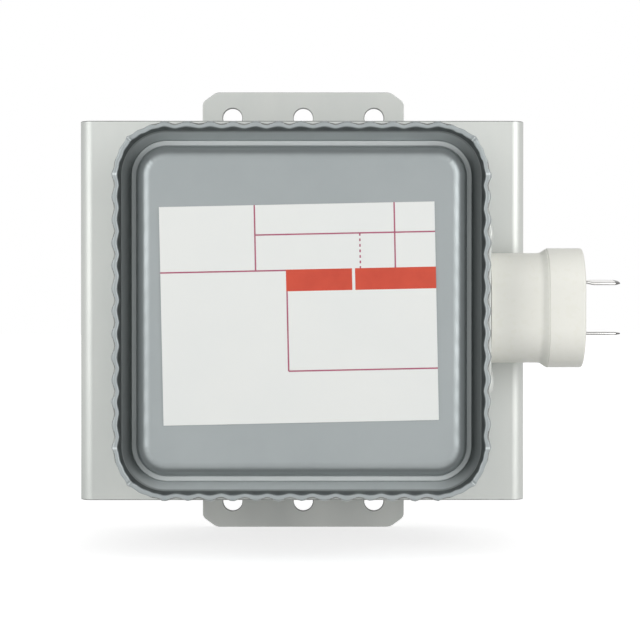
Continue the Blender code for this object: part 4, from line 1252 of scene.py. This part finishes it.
@dataclass
class FilterBox:
    """The drawn box, its pressed lid, the sticker and the box's rivets.

    Attributes:
        measures: the shared places.
        width: the box's width.
        corner: rounding of its corners.
        sheet: thickness of both sheets.
        fold: how far the lid's folded edge reaches down outside the box's rim.
        fold_width: width of the folded edge.
        fold_round: rounding of its two bends.
        bend: outer radius of the bend at the bottom.
        neck_hole: radius of the hole for the tube's stem.
        lean: how far the lid's skirt leans in along the crimp.
        taper: how far its wall leans in below the crimp.
        moat_depth: depth of the moat below the rim.
        moat_floor: width of the moat's floor.
        panel_depth: depth of the raised panel below the rim.
        panel_wall: how far the panel's wall leans.
        shoulder: radius of the panel's shoulder.
        wave_facets: facets of one wave.
        rows: the box's rings below its rim, in depths of the crimp.
        skirt: the lid's rings below its folded edge, in depths of the crimp.
        shaded: where the painted shade under the folded edge starts, in roundings of its bends.
    """

    measures: Measures
    width: float = 0.0750
    corner: float = 0.0102
    sheet: float = 0.00038
    fold: float = 0.0009
    fold_width: float = 0.0010
    fold_round: float = 0.0003
    bend: float = 0.0014
    neck_hole: float = 0.0093
    lean: float = 0.0004
    taper: float = 0.0015
    moat_depth: float = 0.0090
    moat_floor: float = 0.0011
    panel_depth: float = 0.0030
    panel_wall: float = 0.0006
    shoulder: float = 0.0030
    wave_facets: int = 8
    rows: tuple[float, ...] = (0.1, 0.16, 0.21, 0.26, 0.32, 0.42, 0.55, 0.75, 1.0)
    skirt: tuple[float, ...] = (0.08, 0.2, 0.35, 0.55, 0.75)
    shaded: float = 0.3

    def build(self) -> None:
        """Builds and dresses the box, the lid, the sticker and the rivets."""
        self.crimp = Crimp(self.width / 2, self.corner)
        self.box()
        self.lid()
        Sticker().build()
        self.rivets()

    def skin(self, name: str, section: Section) -> Piece:
        """A sheet whose rings follow the box's rounded outline.

        Args:
            name: the piece's name.
            section: (inset from the box's outside, depth below its rim) of each ring.

        Returns:
            The skin, closed by a flat face inside its last ring.
        """
        rim = self.measures.box_low.y
        start = section[0][0]
        side = self.width - 2 * start
        piece = blank(name, (side, side), (0, rim + section[0][1], 0))
        straight = self.width - 2 * self.corner
        with editing(piece, "VERT"):
            bpy.ops.mesh.bevel(
                offset=self.corner - start, affect="VERTICES",
                segments=2 * self.crimp.corner_waves * self.wave_facets,
            )
            bpy.ops.mesh.select_mode(type="EDGE")
            bpy.ops.mesh.select_all(action="DESELECT")
            shape = bmesh.from_edit_mesh(piece.data)
            for edge in shape.edges:
                edge.select_set(edge.calc_length() > straight / 2)
            bmesh.update_edit_mesh(piece.data)
            bpy.ops.mesh.subdivide(number_cuts=self.crimp.side_waves * self.wave_facets - 1)
            bpy.ops.mesh.select_mode(type="FACE")
            bpy.ops.mesh.select_all(action="SELECT")
            for before, after in zip(section, section[1:]):
                bpy.ops.mesh.inset(
                    thickness=after[0] - before[0], depth=before[1] - after[1], use_even_offset=True
                )
        return piece

    def sheet_up(self, piece: Piece) -> None:
        """Gives a skin its sheet's thickness, with the rim no higher than the solid's."""
        thicken(piece, self.sheet)
        for vert in piece.data.vertices:
            vert.co.y = max(vert.co.y, self.measures.box_low.y)

    def box(self) -> None:
        """The drawn box with its waved rim and its openings."""
        rim, bottom = self.measures.box_low.y, self.measures.box_high.y
        depth = bottom - rim
        inner = self.bend - self.sheet
        bend = arc((self.sheet + inner, depth - self.bend), inner, 180, 90, steps=5)
        section = [(self.sheet, self.crimp.depth * share) for share in self.rows] + bend
        piece = self.skin("box_dressed", section)
        self.crimp.wave(piece, rim, 0, self.crimp.belly, self.crimp.tuck)
        self.sheet_up(piece)
        drill(piece, bottom, 8 * self.sheet, self.neck_hole, sides=64)
        soften(piece, self.sheet / 8, angle=60)
        done(piece, "filter_box", PRESSED)

    def lid(self) -> None:
        """The pressed lid: a skirt in the crimp, a moat and a raised panel."""
        width, bend = self.fold_width, self.fold_round
        kink = width + self.lean
        moat = kink + self.taper
        foot = moat + self.moat_floor
        top = foot + self.panel_wall
        flat = top + 2 * self.shoulder
        edge = rounded([(0, self.fold, 0), (0, 0, bend), (width, 0, bend), (width, bend, 0)])
        wall = [
            (width + self.lean * share, bend + (self.crimp.depth - bend) * share)
            for share in self.skirt
        ]
        section = edge[:-1] + rounded([
            wall[0], *((*point, 0) for point in wall[1:]), (kink, self.crimp.depth, self.sheet),
            (moat, self.moat_depth, self.sheet / 2), (foot, self.moat_depth, self.sheet / 2),
            (top, self.panel_depth, self.shoulder), (flat, self.panel_depth, 0),
        ])
        piece = self.skin("lid_dressed", section[:-1])
        self.crimp.wave(piece, self.measures.box_low.y, self.width, 0, 0)
        self.sheet_up(piece)
        soften(piece, self.sheet / 8, angle=60)
        # The folded edge's outer faces get the dark finish as painted shade under the fold, with its
        # sheared edge.
        shaded = self.measures.box_low.y + self.fold_round * self.shaded
        outer = self.width / 2 - self.fold_width / 2
        finish_dark_faces(
            piece, LID_PLATE, CUT_STEEL_AND_SHADE,
            lambda place, side: place.y > shaded and max(abs(place.x), abs(place.z)) > outer
            and (side.x * place.x + side.z * place.z) > 0,
        )
        done(piece, "filter_box_lid", LID_PLATE)

    def rivets(self) -> None:
        """The four rivets between the box and the yoke."""
        low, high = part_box("box_rivet_1")
        first = rivet("box_rivet_1_dressed", high.y - low.y, low.y)
        set_rivets("box_rivet", first, [Matrix.Translation((x, 0, z)) for x, z in rivet_places()])


@dataclass(frozen=True)
class Rule:
    """A printed line or bar on the sticker, in its own upright coordinates.

    Attributes:
        left: its left side, from the sticker's middle.
        right: its right side.
        low: its lower side.
        high: its upper side.
        ink: its finish.
    """

    left: float
    right: float
    low: float
    high: float
    ink: Finish = RULE_INK

    @classmethod
    def upright(cls, x: float, low: float, high: float, width: float) -> "Rule":
        """An upright line of a width."""
        return cls(x - width / 2, x + width / 2, low, high)

    @classmethod
    def level(cls, z: float, left: float, right: float, width: float) -> "Rule":
        """A level line of a width."""
        return cls(left, right, z - width / 2, z + width / 2)

    def holds(self, point: Vector) -> bool:
        """Whether the point lies in it."""
        return self.left < point.x < self.right and self.low < point.z < self.high


@dataclass
class Sticker:
    """The bare sticker on the lid, with ruled fields and two plain bars.

    Attributes:
        width: its width.
        height: its height.
        turn: its slight tilt, in degrees.
        shift: its middle along X and Z.
        line: width of a ruled line.
        columns: distances of the upright lines from the left side, the dashed one last.
        panel: distance of the lower field's line from the left side.
        rows: distances of the level lines from the top, the lower end of the bars third.
        bars: where the first bar ends and the second one starts, from the lower field's line.
        dashes: dashes and gaps of the dashed line.
    """

    width: float = 0.0552
    height: float = 0.0438
    turn: float = 1.2
    shift: tuple[float, float] = (-0.0005, -0.0005)
    line: float = 0.00030
    columns: tuple[float, float, float] = (0.0191, 0.0471, 0.0401)
    panel: float = 0.0253
    rows: tuple[float, float, float, float] = (0.0060, 0.0132, 0.0174, 0.0334)
    bars: tuple[float, float] = (0.0131, 0.0137)
    dashes: int = 13

    def rules(self) -> list[Rule]:
        """The printed lines and bars.

        Returns:
            All of them, the bars last.
        """
        left, right, top = -self.width / 2, self.width / 2, self.height / 2
        first, second, dashed = (left + place for place in self.columns)
        upper, middle, low, foot = (top - place for place in self.rows)
        panel, line = left + self.panel, self.line
        lines = [
            Rule.upright(first, middle, top, line),
            Rule.upright(second, middle, top, line),
            Rule.level(upper, first, right, line),
            Rule.level(middle, left, panel, line),
            Rule.upright(panel, foot, low, line),
            Rule.level(foot, panel, right, line),
        ]
        dash = (upper - middle) / self.dashes
        for index in range(0, self.dashes, 2):
            start = middle + index * dash
            lines.append(Rule.upright(dashed, start, start + dash, line))
        high = middle + line / 2
        lines.append(Rule(panel - line / 2, panel + self.bars[0], low, high, BAR_INK))
        lines.append(Rule(panel + self.bars[1], right, low, high, BAR_INK))
        return lines

    def build(self) -> None:
        """Cuts the sheet along its print and inks the fields."""
        low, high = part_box("rating_label")
        sheet = high.y - low.y
        piece = blank("label_dressed", (self.width, self.height), (0, low.y, 0))
        rules = self.rules()
        with editing(piece):
            slice_at(ALONG_X, sorted({side for rule in rules for side in (rule.left, rule.right)}))
            slice_at(ALONG_Z, sorted({side for rule in rules for side in (rule.low, rule.high)}))
        inks = (PAPER, RULE_INK, BAR_INK)
        for ink in inks:
            piece.data.materials.append(ink.material())
        for face in piece.data.polygons:
            for rule in rules:
                if rule.holds(face.center):
                    face.material_index = inks.index(rule.ink)
        thicken(piece, sheet)
        place = Matrix.Translation((self.shift[0], 0, self.shift[1]))
        piece.data.transform(place @ Matrix.Rotation(-math.radians(self.turn), 4, "Y"))
        done(piece, "rating_label", PAPER)


@dataclass
class FeedThrough:
    """The feed-through capacitor: flange, case, blades and rivets.

    Attributes:
        height: the middle of the capacitor along Z.
        depth: the middle of the capacitor along Y.
        flange: the flange's size along Y and Z.
        flange_corner: rounding of its corners.
        rivet_spacing: spacing of its rivets.
        case: size of the case's neck along Y and Z.
        growth: how far the head stands out from the neck.
        head_depth: length of the head.
        wall: the case's wall.
        case_edge: rounding of the head's end.
        crown: how far the end bulges in its middle.
        crown_rings: rings of that end.
        step: the small step where the head starts.
        slope: length and rounding of the slope to the neck, in growths.
        blade_spacing: spacing of the blades.
        rod: thickness of a conductor inside the case.
        rod_round: rounding of its edges, in thicknesses.
        blade: width and thickness of a blade.
        point: length of a blade's point.
        point_sheet: thickness of its end, in thicknesses of the blade.
        edges: shares of a face's outward side along Y between which it gets the painted shade of an edge.
        twist: how far the upper blade is out of true, in degrees.
    """

    height: float = 0.0006
    depth: float = -0.0691
    flange: tuple[float, float] = (0.0185, 0.038)
    flange_corner: float = 0.003
    rivet_spacing: float = 0.0305
    case: tuple[float, float] = (0.0142, 0.0228)
    growth: float = 0.0010
    head_depth: float = 0.0080
    wall: float = 0.0016
    case_edge: float = 0.0004
    crown: float = 0.0006
    crown_rings: int = 6
    step: float = 0.0002
    slope: tuple[float, float] = (1.4, 1.5)
    blade_spacing: float = 0.0106
    rod: float = 0.0024
    rod_round: float = 0.3
    blade: tuple[float, float] = (0.0063, 0.0008)
    point: float = 0.0011
    point_sheet: float = 0.5
    edges: tuple[float, float] = (0.3, 0.97)
    twist: float = 6.0

    def build(self) -> None:
        """Builds and dresses the whole capacitor."""
        self.flange_plate()
        self.outer_case()
        self.blades()
        self.rivets()

    def flange_plate(self) -> None:
        """The earthed flange on the box's wall."""
        low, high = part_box("capacitor_flange")
        sheet = high.x - low.x
        piece = blank("flange_dressed", self.flange, (high.x, self.depth, self.height), Facing.RIGHT)
        with editing(piece, "VERT"):
            bpy.ops.mesh.bevel(offset=self.flange_corner, segments=8, affect="VERTICES")
        thicken(piece, sheet)
        soften(piece, sheet / 6)
        done(piece, "capacitor_flange", ZINC)

    def outer_case(self) -> None:
        """The moulded case: a neck, a wider head and a hollow, turned at both ends of its oval."""
        low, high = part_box("capacitor_case")
        radius = self.case[0] / 2
        half = (self.case[1] - self.case[0]) / 2
        head = radius + self.growth
        start = high.x - self.head_depth
        inner = radius - self.wall
        ease, step, wall = self.case_edge, self.step, self.wall
        length, bend = (share * self.growth for share in self.slope)
        shares = [ring / self.crown_rings for ring in range(self.crown_rings)]
        line = [(high.x - self.crown * share ** 2, head * share) for share in shares]
        line += rounded([
            (high.x - self.crown, head - 2 * ease, 0), (high.x - self.crown, head, ease),
            (start, head, step), (start, head - step, 0), (start - step, head - step, 0),
            (start - length, radius, bend), (low.x, radius, 0), (low.x, inner, 0),
            (high.x - wall, inner, 0), (high.x - wall, 0, 0),
        ], steps=5)
        piece = trace("case_dressed", [Vector((x, self.depth + r, self.height + half)) for x, r in line])
        with editing(piece, "EDGE"):
            for end in (half, -half):
                bpy.ops.mesh.spin(
                    steps=24, angle=-math.pi, center=(0, self.depth, self.height + end), axis=(1, 0, 0)
                )
                push(z=-2 * end)
        weld(piece)
        slit = (3 * wall, self.blade[0] + 2 * SEAT_GAP, self.blade[1] + 2 * SEAT_GAP)
        cut(piece, [square_bar(slit, (high.x, self.depth, self.blade_level(side))) for side in (-1, 1)])
        done(piece, "capacitor_case", PLASTIC)

    def blade_level(self, side: int) -> float:
        """The middle along Z of the upper blade for 1, of the lower one for -1."""
        return self.height + side * self.blade_spacing / 2

    def blades(self) -> None:
        """The two conductors: rods that are pressed flat to blades outside the case."""
        case_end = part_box("capacitor_case")[1].x
        width, sheet = self.blade
        start, outside = case_end + SEAT_GAP, case_end + 2 * sheet
        for node, side, twist in (("terminal_blade_upper", 1, self.twist), ("terminal_blade_lower", -1, 0)):
            low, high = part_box(node)
            middle = (low.x, self.depth, self.blade_level(side))
            piece = blank(f"{node}_dressed", (self.rod, self.rod), middle, Facing.RIGHT)
            steps = [
                (case_end - 3 * self.wall, 1, 1),
                (case_end - self.wall - SEAT_GAP, width / self.rod, sheet / self.rod),
                (start, 1, 1),
                (outside, 1, 1),
                (high.x - self.point, 1, 1),
                (high.x, (width - 2 * self.point) / width, self.point_sheet),
            ]
            with editing(piece, "VERT"):
                bpy.ops.mesh.bevel(offset=self.rod * self.rod_round, segments=4, affect="VERTICES")
                bpy.ops.mesh.select_mode(type="FACE")
                bpy.ops.mesh.select_all(action="SELECT")
                here = low.x
                for x, wide, thick in steps:
                    push(x=x - here)
                    bpy.ops.transform.resize(value=(1, wide, thick), center_override=middle)
                    here = x
            axis = Vector(middle)
            for vert in piece.data.vertices:
                share = held((vert.co.x - start) / (outside - start))
                turn = Matrix.Rotation(math.radians(twist) * share, 3, "X")
                vert.co = turn @ (vert.co - axis) + axis
            soften(piece, sheet / 5, angle=50)
            # The upper blade's tip gets painted shade too.
            point = high.x - (self.point if twist else 0)
            finish_dark_faces(
                piece, TINNED, BLADE_EDGE_SHADE,
                lambda place, side: place.x > point or self.edges[0] < abs(side.y) < self.edges[1],
            )
            done(piece, node, TINNED)

    def rivets(self) -> None:
        """The two rivets of the flange."""
        low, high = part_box("capacitor_rivet_1")
        first = rivet("flange_rivet", high.x - low.x, low.x)
        turn = Matrix.Rotation(-math.pi / 2, 4, "Z")
        levels = [self.height + side * self.rivet_spacing / 2 for side in (-1, 1)]
        moves = [Matrix.Translation((0, self.depth, level)) @ turn for level in levels]
        set_rivets("capacitor_rivet", first, moves)


@dataclass
class FinStack:
    """The cooling fins and the anode's copper cylinder.

    Attributes:
        count: number of fins.
        sheet: a fin's thickness.
        bend: outer radius of a flap's bend.
        collar: height of the collar.
        anode: outer radius of the cylinder.
        bore_gap: gap between cylinder and collar.
        cuts: cuts across a fin, both ways, that let it warp.
        warp: how far the thin sheets are out of true.
        lumps: how often that changes in a metre.
    """

    count: int = 5
    sheet: float = 0.0006
    bend: float = 0.0012
    collar: float = 0.0026
    anode: float = 0.0198
    bore_gap: float = 0.0003
    cuts: int = 15
    warp: float = 0.00012
    lumps: float = 60.0

    def build(self) -> None:
        """Builds and dresses the fins and the cylinder."""
        self.cylinder()
        for index in range(self.count):
            self.fin(f"cooling_fin_{index + 1}", index)

    def cylinder(self) -> None:
        """The anode's cylinder, its ends with a broken edge."""
        low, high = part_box("anode_cylinder")
        edge, outer = self.sheet / 2, self.anode
        inner = outer - 2 * self.sheet
        section = [
            (outer - edge, high.y), (outer, high.y - edge), (outer, low.y + edge),
            (outer - edge, low.y), (inner, low.y), (inner, high.y),
        ]
        piece = revolved("anode_dressed", section, FINE_ROUND)
        done(piece, "anode_cylinder", COPPER)

    def fin(self, node: str, index: int) -> None:
        """One pressed fin with its collar and its two flaps.

        Args:
            node: the solid that it replaces.
            index: its place in the stack.
        """
        low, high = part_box(node)
        width, height = high.x - low.x, high.z - low.z
        piece = blank(f"{node}_dressed", (width, height), (0, low.y, 0))
        with editing(piece):
            bpy.ops.mesh.subdivide(number_cuts=self.cuts)
            turn_flaps(piece, Vector((width / 2, low.y)), high.y - low.y, self.bend, segments=5)
            bpy.ops.mesh.select_all(action="SELECT")
            bpy.ops.mesh.normals_make_consistent(inside=False)
        thicken(piece, self.sheet)
        bore = self.anode + self.bore_gap
        reach = self.collar - self.sheet / 2
        middle = low.y + self.collar - reach / 2
        cut(piece, [round_bar(bore + self.sheet, (0, middle, 0), reach, LARGE_ROUND)], "UNION")
        cut(piece, [round_bar(bore, (0, low.y, 0), 4 * (high.y - low.y), LARGE_ROUND)])
        for vert in piece.data.vertices:
            beyond = max(0.0, vert.co.xz.length - bore) / height
            vert.co.y += self.warp * beyond * noise.noise(vert.co * self.lumps + ALONG_X * index)
        done(piece, node, ALUMINIUM)


@dataclass
class AntennaEnd:
    """The output end: seal cup, ceramic, cap and knitted gasket.

    Attributes:
        neck: outer radius of the seal cup's neck.
        seal_sheet: its sheet.
        ceramic: outer radius of the ceramic ring.
        ceramic_edge: broken edge of the ceramic.
        window: its inner radius, as a share of the outer one.
        cap: the cap's radius.
        cap_edge: rounding of its top.
        strands: wires of the gasket in each direction.
        windings: turns of each wire round the gasket's section.
        wire_steps: steps of each winding.
        core_facets: facets of the core's section.
        gasket_wire: the wire's radius.
        square: the power that draws the gasket's round section towards a square.
    """

    neck: float = 0.0090
    seal_sheet: float = 0.0005
    ceramic: float = 0.0077
    ceramic_edge: float = 0.0003
    window: float = 0.66
    cap: float = 0.0075
    cap_edge: float = 0.0022
    strands: int = 10
    windings: int = 12
    wire_steps: int = 16
    core_facets: int = 24
    gasket_wire: float = 0.00012
    square: float = 0.6

    def build(self) -> None:
        """Builds and dresses the whole end."""
        self.seal_cup()
        self.ceramic_ring()
        self.cap_piece()
        self.gasket()

    def seal_cup(self) -> None:
        """The drawn cup that the ceramic is brazed to."""
        low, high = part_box("antenna_seal_cup")
        sheet, neck = self.seal_sheet, self.neck
        lip = self.ceramic * self.window
        line = rounded([
            (high.x, low.y + sheet, 0), (neck, low.y + sheet, 2 * sheet), (neck, high.y, 2 * sheet),
            (lip, high.y, 0),
        ])
        back = rounded([
            (lip, high.y - sheet, 0), (neck - sheet, high.y - sheet, sheet),
            (neck - sheet, low.y, 2 * sheet), (high.x, low.y, 0),
        ])
        piece = revolved("antenna_cup_dressed", line + back)
        done(piece, "antenna_seal_cup", SEAL_METAL)

    def ceramic_ring(self) -> None:
        """The fired ring of the output window."""
        low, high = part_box("antenna_ceramic")
        edge, inner = self.ceramic_edge, self.ceramic * self.window
        section = [(inner, low.y), (self.ceramic - edge, low.y), (self.ceramic, low.y + edge)]
        section += [(self.ceramic, high.y - edge), (self.ceramic - edge, high.y), (inner, high.y)]
        piece = revolved("antenna_ceramic_dressed", section)
        done(piece, "antenna_ceramic", ALUMINA)

    def cap_piece(self) -> None:
        """The drawn cap over the pinched exhaust tube."""
        low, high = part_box("antenna_cap")
        sheet = self.seal_sheet
        line = rounded([(self.cap, low.y, 0), (self.cap, high.y, self.cap_edge), (0, high.y, 0)], steps=10)
        inside = rounded([
            (0, high.y - sheet, 0), (self.cap - sheet, high.y - sheet, self.cap_edge - sheet),
            (self.cap - sheet, low.y, 0),
        ], steps=10)
        piece = revolved("antenna_cap_dressed", line + inside)
        done(piece, "antenna_cap", SEAL_METAL)

    def gasket(self) -> None:
        """The knitted ring: wires of both hands round a core of the same wire."""
        low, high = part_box("rf_gasket")
        inner = self.neck + SEAT_GAP
        middle = (inner + high.x) / 2
        wire = self.gasket_wire
        half = ((high.x - inner) / 2 - 2 * wire, (high.y - low.y) / 2 - 2 * wire)
        level = (low.y + high.y) / 2
        core = []
        for facet in range(self.core_facets):
            out, rise = self.squared(math.tau * facet / self.core_facets)
            core.append((middle + (half[0] - wire) * out, level + (half[1] - wire) * rise))
        piece = revolved("gasket_dressed", core)
        shape = bmesh.new()
        shape.from_mesh(piece.data)
        for hand in (1, -1):
            for strand in range(self.strands):
                self.wire(shape, middle, level, half, hand, strand)
        shape.to_mesh(piece.data)
        shape.free()
        done(piece, "rf_gasket", WIRE)

    def squared(self, angle: float) -> tuple[float, ...]:
        """The cosine and sine of an angle, drawn towards the sides of a rounded square."""
        pair = (math.cos(angle), math.sin(angle))
        return tuple(math.copysign(abs(value) ** self.square, value) for value in pair)

    def wire(
        self, shape: bmesh.types.BMesh, middle: float, level: float, half: tuple[float, float],
        hand: int, strand: int,
    ) -> None:
        """Adds one closed wire that winds round the gasket's section.

        Args:
            shape: the gasket's mesh.
            middle: radius of the ring's middle.
            level: the ring's middle along Y.
            half: half the section's width and height.
            hand: 1 or -1, the way it winds.
            strand: its number.
        """
        steps = self.windings * self.wire_steps
        rings = []
        for step in range(steps):
            around = math.tau * step / steps
            roll = hand * (self.windings * around + math.tau * strand / self.strands)
            over = self.gasket_wire * math.cos(roll * self.strands + hand * around)
            rise = Vector(self.squared(roll))
            radius = middle + (half[0] + over) * rise.x
            y = level + (half[1] + over) * rise.y
            out = Vector((math.cos(around), 0, math.sin(around)))
            spot = out * radius + Vector((0, y, 0))
            sides = (out * rise.x + Vector((0, rise.y, 0)), out * rise.y - Vector((0, rise.x, 0)))
            rings.append([
                shape.verts.new(spot + (sides[0] * a + sides[1] * b) * self.gasket_wire)
                for a, b in ((1, 0), (0, 1), (-1, 0), (0, -1))
            ])
        for first, second in zip(rings, rings[1:] + rings[:1]):
            for index in range(4):
                after = (index + 1) % 4
                shape.faces.new((first[index], first[after], second[after], second[index]))


@dataclass
class InnerPieces:
    """The pieces inside, which keep their solids and get their finishes."""

    def build(self) -> None:
        """Gives each kept solid the finish of its kind."""
        kinds = (
            (COPPER, ("anode_vane", "inner_strap", "outer_strap", "exhaust_tube")),
            (COPPER, ("antenna_rod", "choke_coil")),
            (POLE_IRON, ("antenna_pole", "cathode_pole")),
            (SEAL_METAL, ("cathode_seal", "stem_terminal")),
            (ALUMINA, ("stem_ceramic", "capacitor_ceramic")),
            (TUNGSTEN, ("filament", "upper_end", "lower_end", "centre_lead", "side_lead")),
            (FERRITE, ("choke_core",)),
            (PLASTIC, ("capacitor_inner",)),
        )
        for name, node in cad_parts.items():
            for finish, starts in kinds:
                if name.startswith(starts):
                    node.data.materials.clear()
                    node.data.materials.append(finish.material())
                    LOG.info("%s keeps its solid, finished as %s", name, finish.name)


# Stage, light and camera

@dataclass
class Studio:
    """A plain pale stage with soft light and the photograph's camera.

    Attributes:
        floor_size: width of the floor.
        floor_shade: the floor's own linear shade.
        fade: distances from the object between which the floor turns quite white.
        glow: how bright the eye sees the floor near the object, before the lamps' light.
        ambient: strength of the world on what isn't shiny.
        lamps: name, place, size and power in watts of each lamp.
        camera_place: where the photograph was taken from.
        lens: the lens in millimetres.
        sensor: the sensor's width in millimetres.
        pitch: how far it looks down, in degrees.
        yaw: how far it looks to the right, in degrees.
        nearest: the nearest distance that it sees.
    """

    floor_size: float = 6.0
    floor_shade: float = 0.70
    fade: tuple[float, float] = (0.10, 0.45)
    glow: float = 0.74
    ambient: float = 0.38
    lamps: tuple[Lamp, ...] = (
        ("upper_lamp", (0.1, -1.0, 0.62), (1.0, 0.5), 0.25),
        ("left_lamp", (-0.66, -0.80, 0.05), (0.6, 0.9), 5.2),
        ("right_lamp", (0.68, -0.78, 0.10), (0.6, 0.9), 6.0),
    )
    camera_place: tuple[float, float, float] = (0.0022, -0.4976, 0.0016)
    lens: float = 115.9
    sensor: float = 36.0
    pitch: float = 0.47
    yaw: float = 0.21
    nearest: float = 0.01

    def build(self) -> None:
        """Sets up the stage, the light and the camera."""
        self.floor()
        self.world()
        for name, place, size, power in self.lamps:
            self.lamp(name, place, size, power)
        self.camera()
        bpy.context.scene.view_settings.view_transform = "Standard"

    def floor(self) -> None:
        """The floor just below the lowest ear, white where nothing shades it."""
        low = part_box("mounting_plate")[0].z - WELD
        deselect()
        bpy.ops.mesh.primitive_plane_add(size=self.floor_size, location=(0, 0, low))
        piece = bpy.context.object
        piece.name = "studio_floor"
        made = bpy.data.materials.new("pale_floor")
        made.use_nodes = True
        shader = made.node_tree.nodes["Principled BSDF"]
        wiring = Wiring(made.node_tree)
        shader.inputs["Base Color"].default_value = (*(self.floor_shade,) * 3, 1.0)
        shader.inputs["Roughness"].default_value = 1.0
        shader.inputs["Specular IOR Level"].default_value = 0.0
        shader.inputs["Emission Color"].default_value = WHITE
        away = wiring.vector("LENGTH", wiring.add("ShaderNodeTexCoord").outputs["Object"])
        glow = wiring.between(away, *self.fade, self.glow, 1.0)
        wiring.feed(shader.inputs["Emission Strength"], wiring.math("MULTIPLY", wiring.seen(), glow))
        piece.data.materials.append(made)

    def world(self) -> None:
        """A white surround for the eye and for shiny surfaces, softer on the rest."""
        world = bpy.data.worlds.new("studio")
        bpy.context.scene.world = world
        world.use_nodes = True
        wiring = Wiring(world.node_tree)
        ground = world.node_tree.nodes["Background"]
        ground.inputs["Color"].default_value = WHITE
        strength = wiring.between(wiring.seen(), 0.0, 1.0, self.ambient, 1.0, eased=False)
        wiring.feed(ground.inputs["Strength"], strength)

    def lamp(
        self, name: str, place: tuple[float, float, float], size: tuple[float, float], power: float
    ) -> None:
        """A soft upright lamp aimed at the object.

        Args:
            name: its name.
            place: where it stands.
            size: its width and height.
            power: its power in watts.
        """
        light = bpy.data.lights.new(name, "AREA")
        light.shape = "RECTANGLE"
        light.size, light.size_y = size
        light.energy = power
        lamp = bpy.data.objects.new(name, light)
        lamp.location = place
        lamp.rotation_euler = (-Vector(place)).to_track_quat("-Z", "Y").to_euler()
        bpy.context.scene.collection.objects.link(lamp)

    def camera(self) -> None:
        """The camera at the photograph's place, looking along +Y."""
        seen = bpy.data.cameras.new("photo_camera")
        seen.lens = self.lens
        seen.sensor_width = self.sensor
        seen.clip_start = self.nearest
        eye = bpy.data.objects.new("photo_camera", seen)
        eye.location = self.camera_place
        eye.rotation_euler = (math.pi / 2 - math.radians(self.pitch), 0, -math.radians(self.yaw))
        bpy.context.scene.collection.objects.link(eye)
        bpy.context.scene.camera = eye


def corners(box: tuple[Vector, Vector]) -> list[list[float]]:
    """A box as plain lists of numbers."""
    return [list(corner) for corner in box]


def main() -> None:
    """Builds and dresses every sub-assembly in order and sets up the studio."""
    logging.basicConfig(level=logging.INFO, format="%(name)s: %(message)s")
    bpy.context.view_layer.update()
    measures = Measures.taken()
    for part in (
        InnerPieces(), MagneticCircuit(measures), FinStack(), AntennaEnd(), FilterBox(measures),
        FeedThrough(), Studio(),
    ):
        part.build()
        LOG.info("%s built", type(part).__name__)


if __name__ == "__main__":
    main()
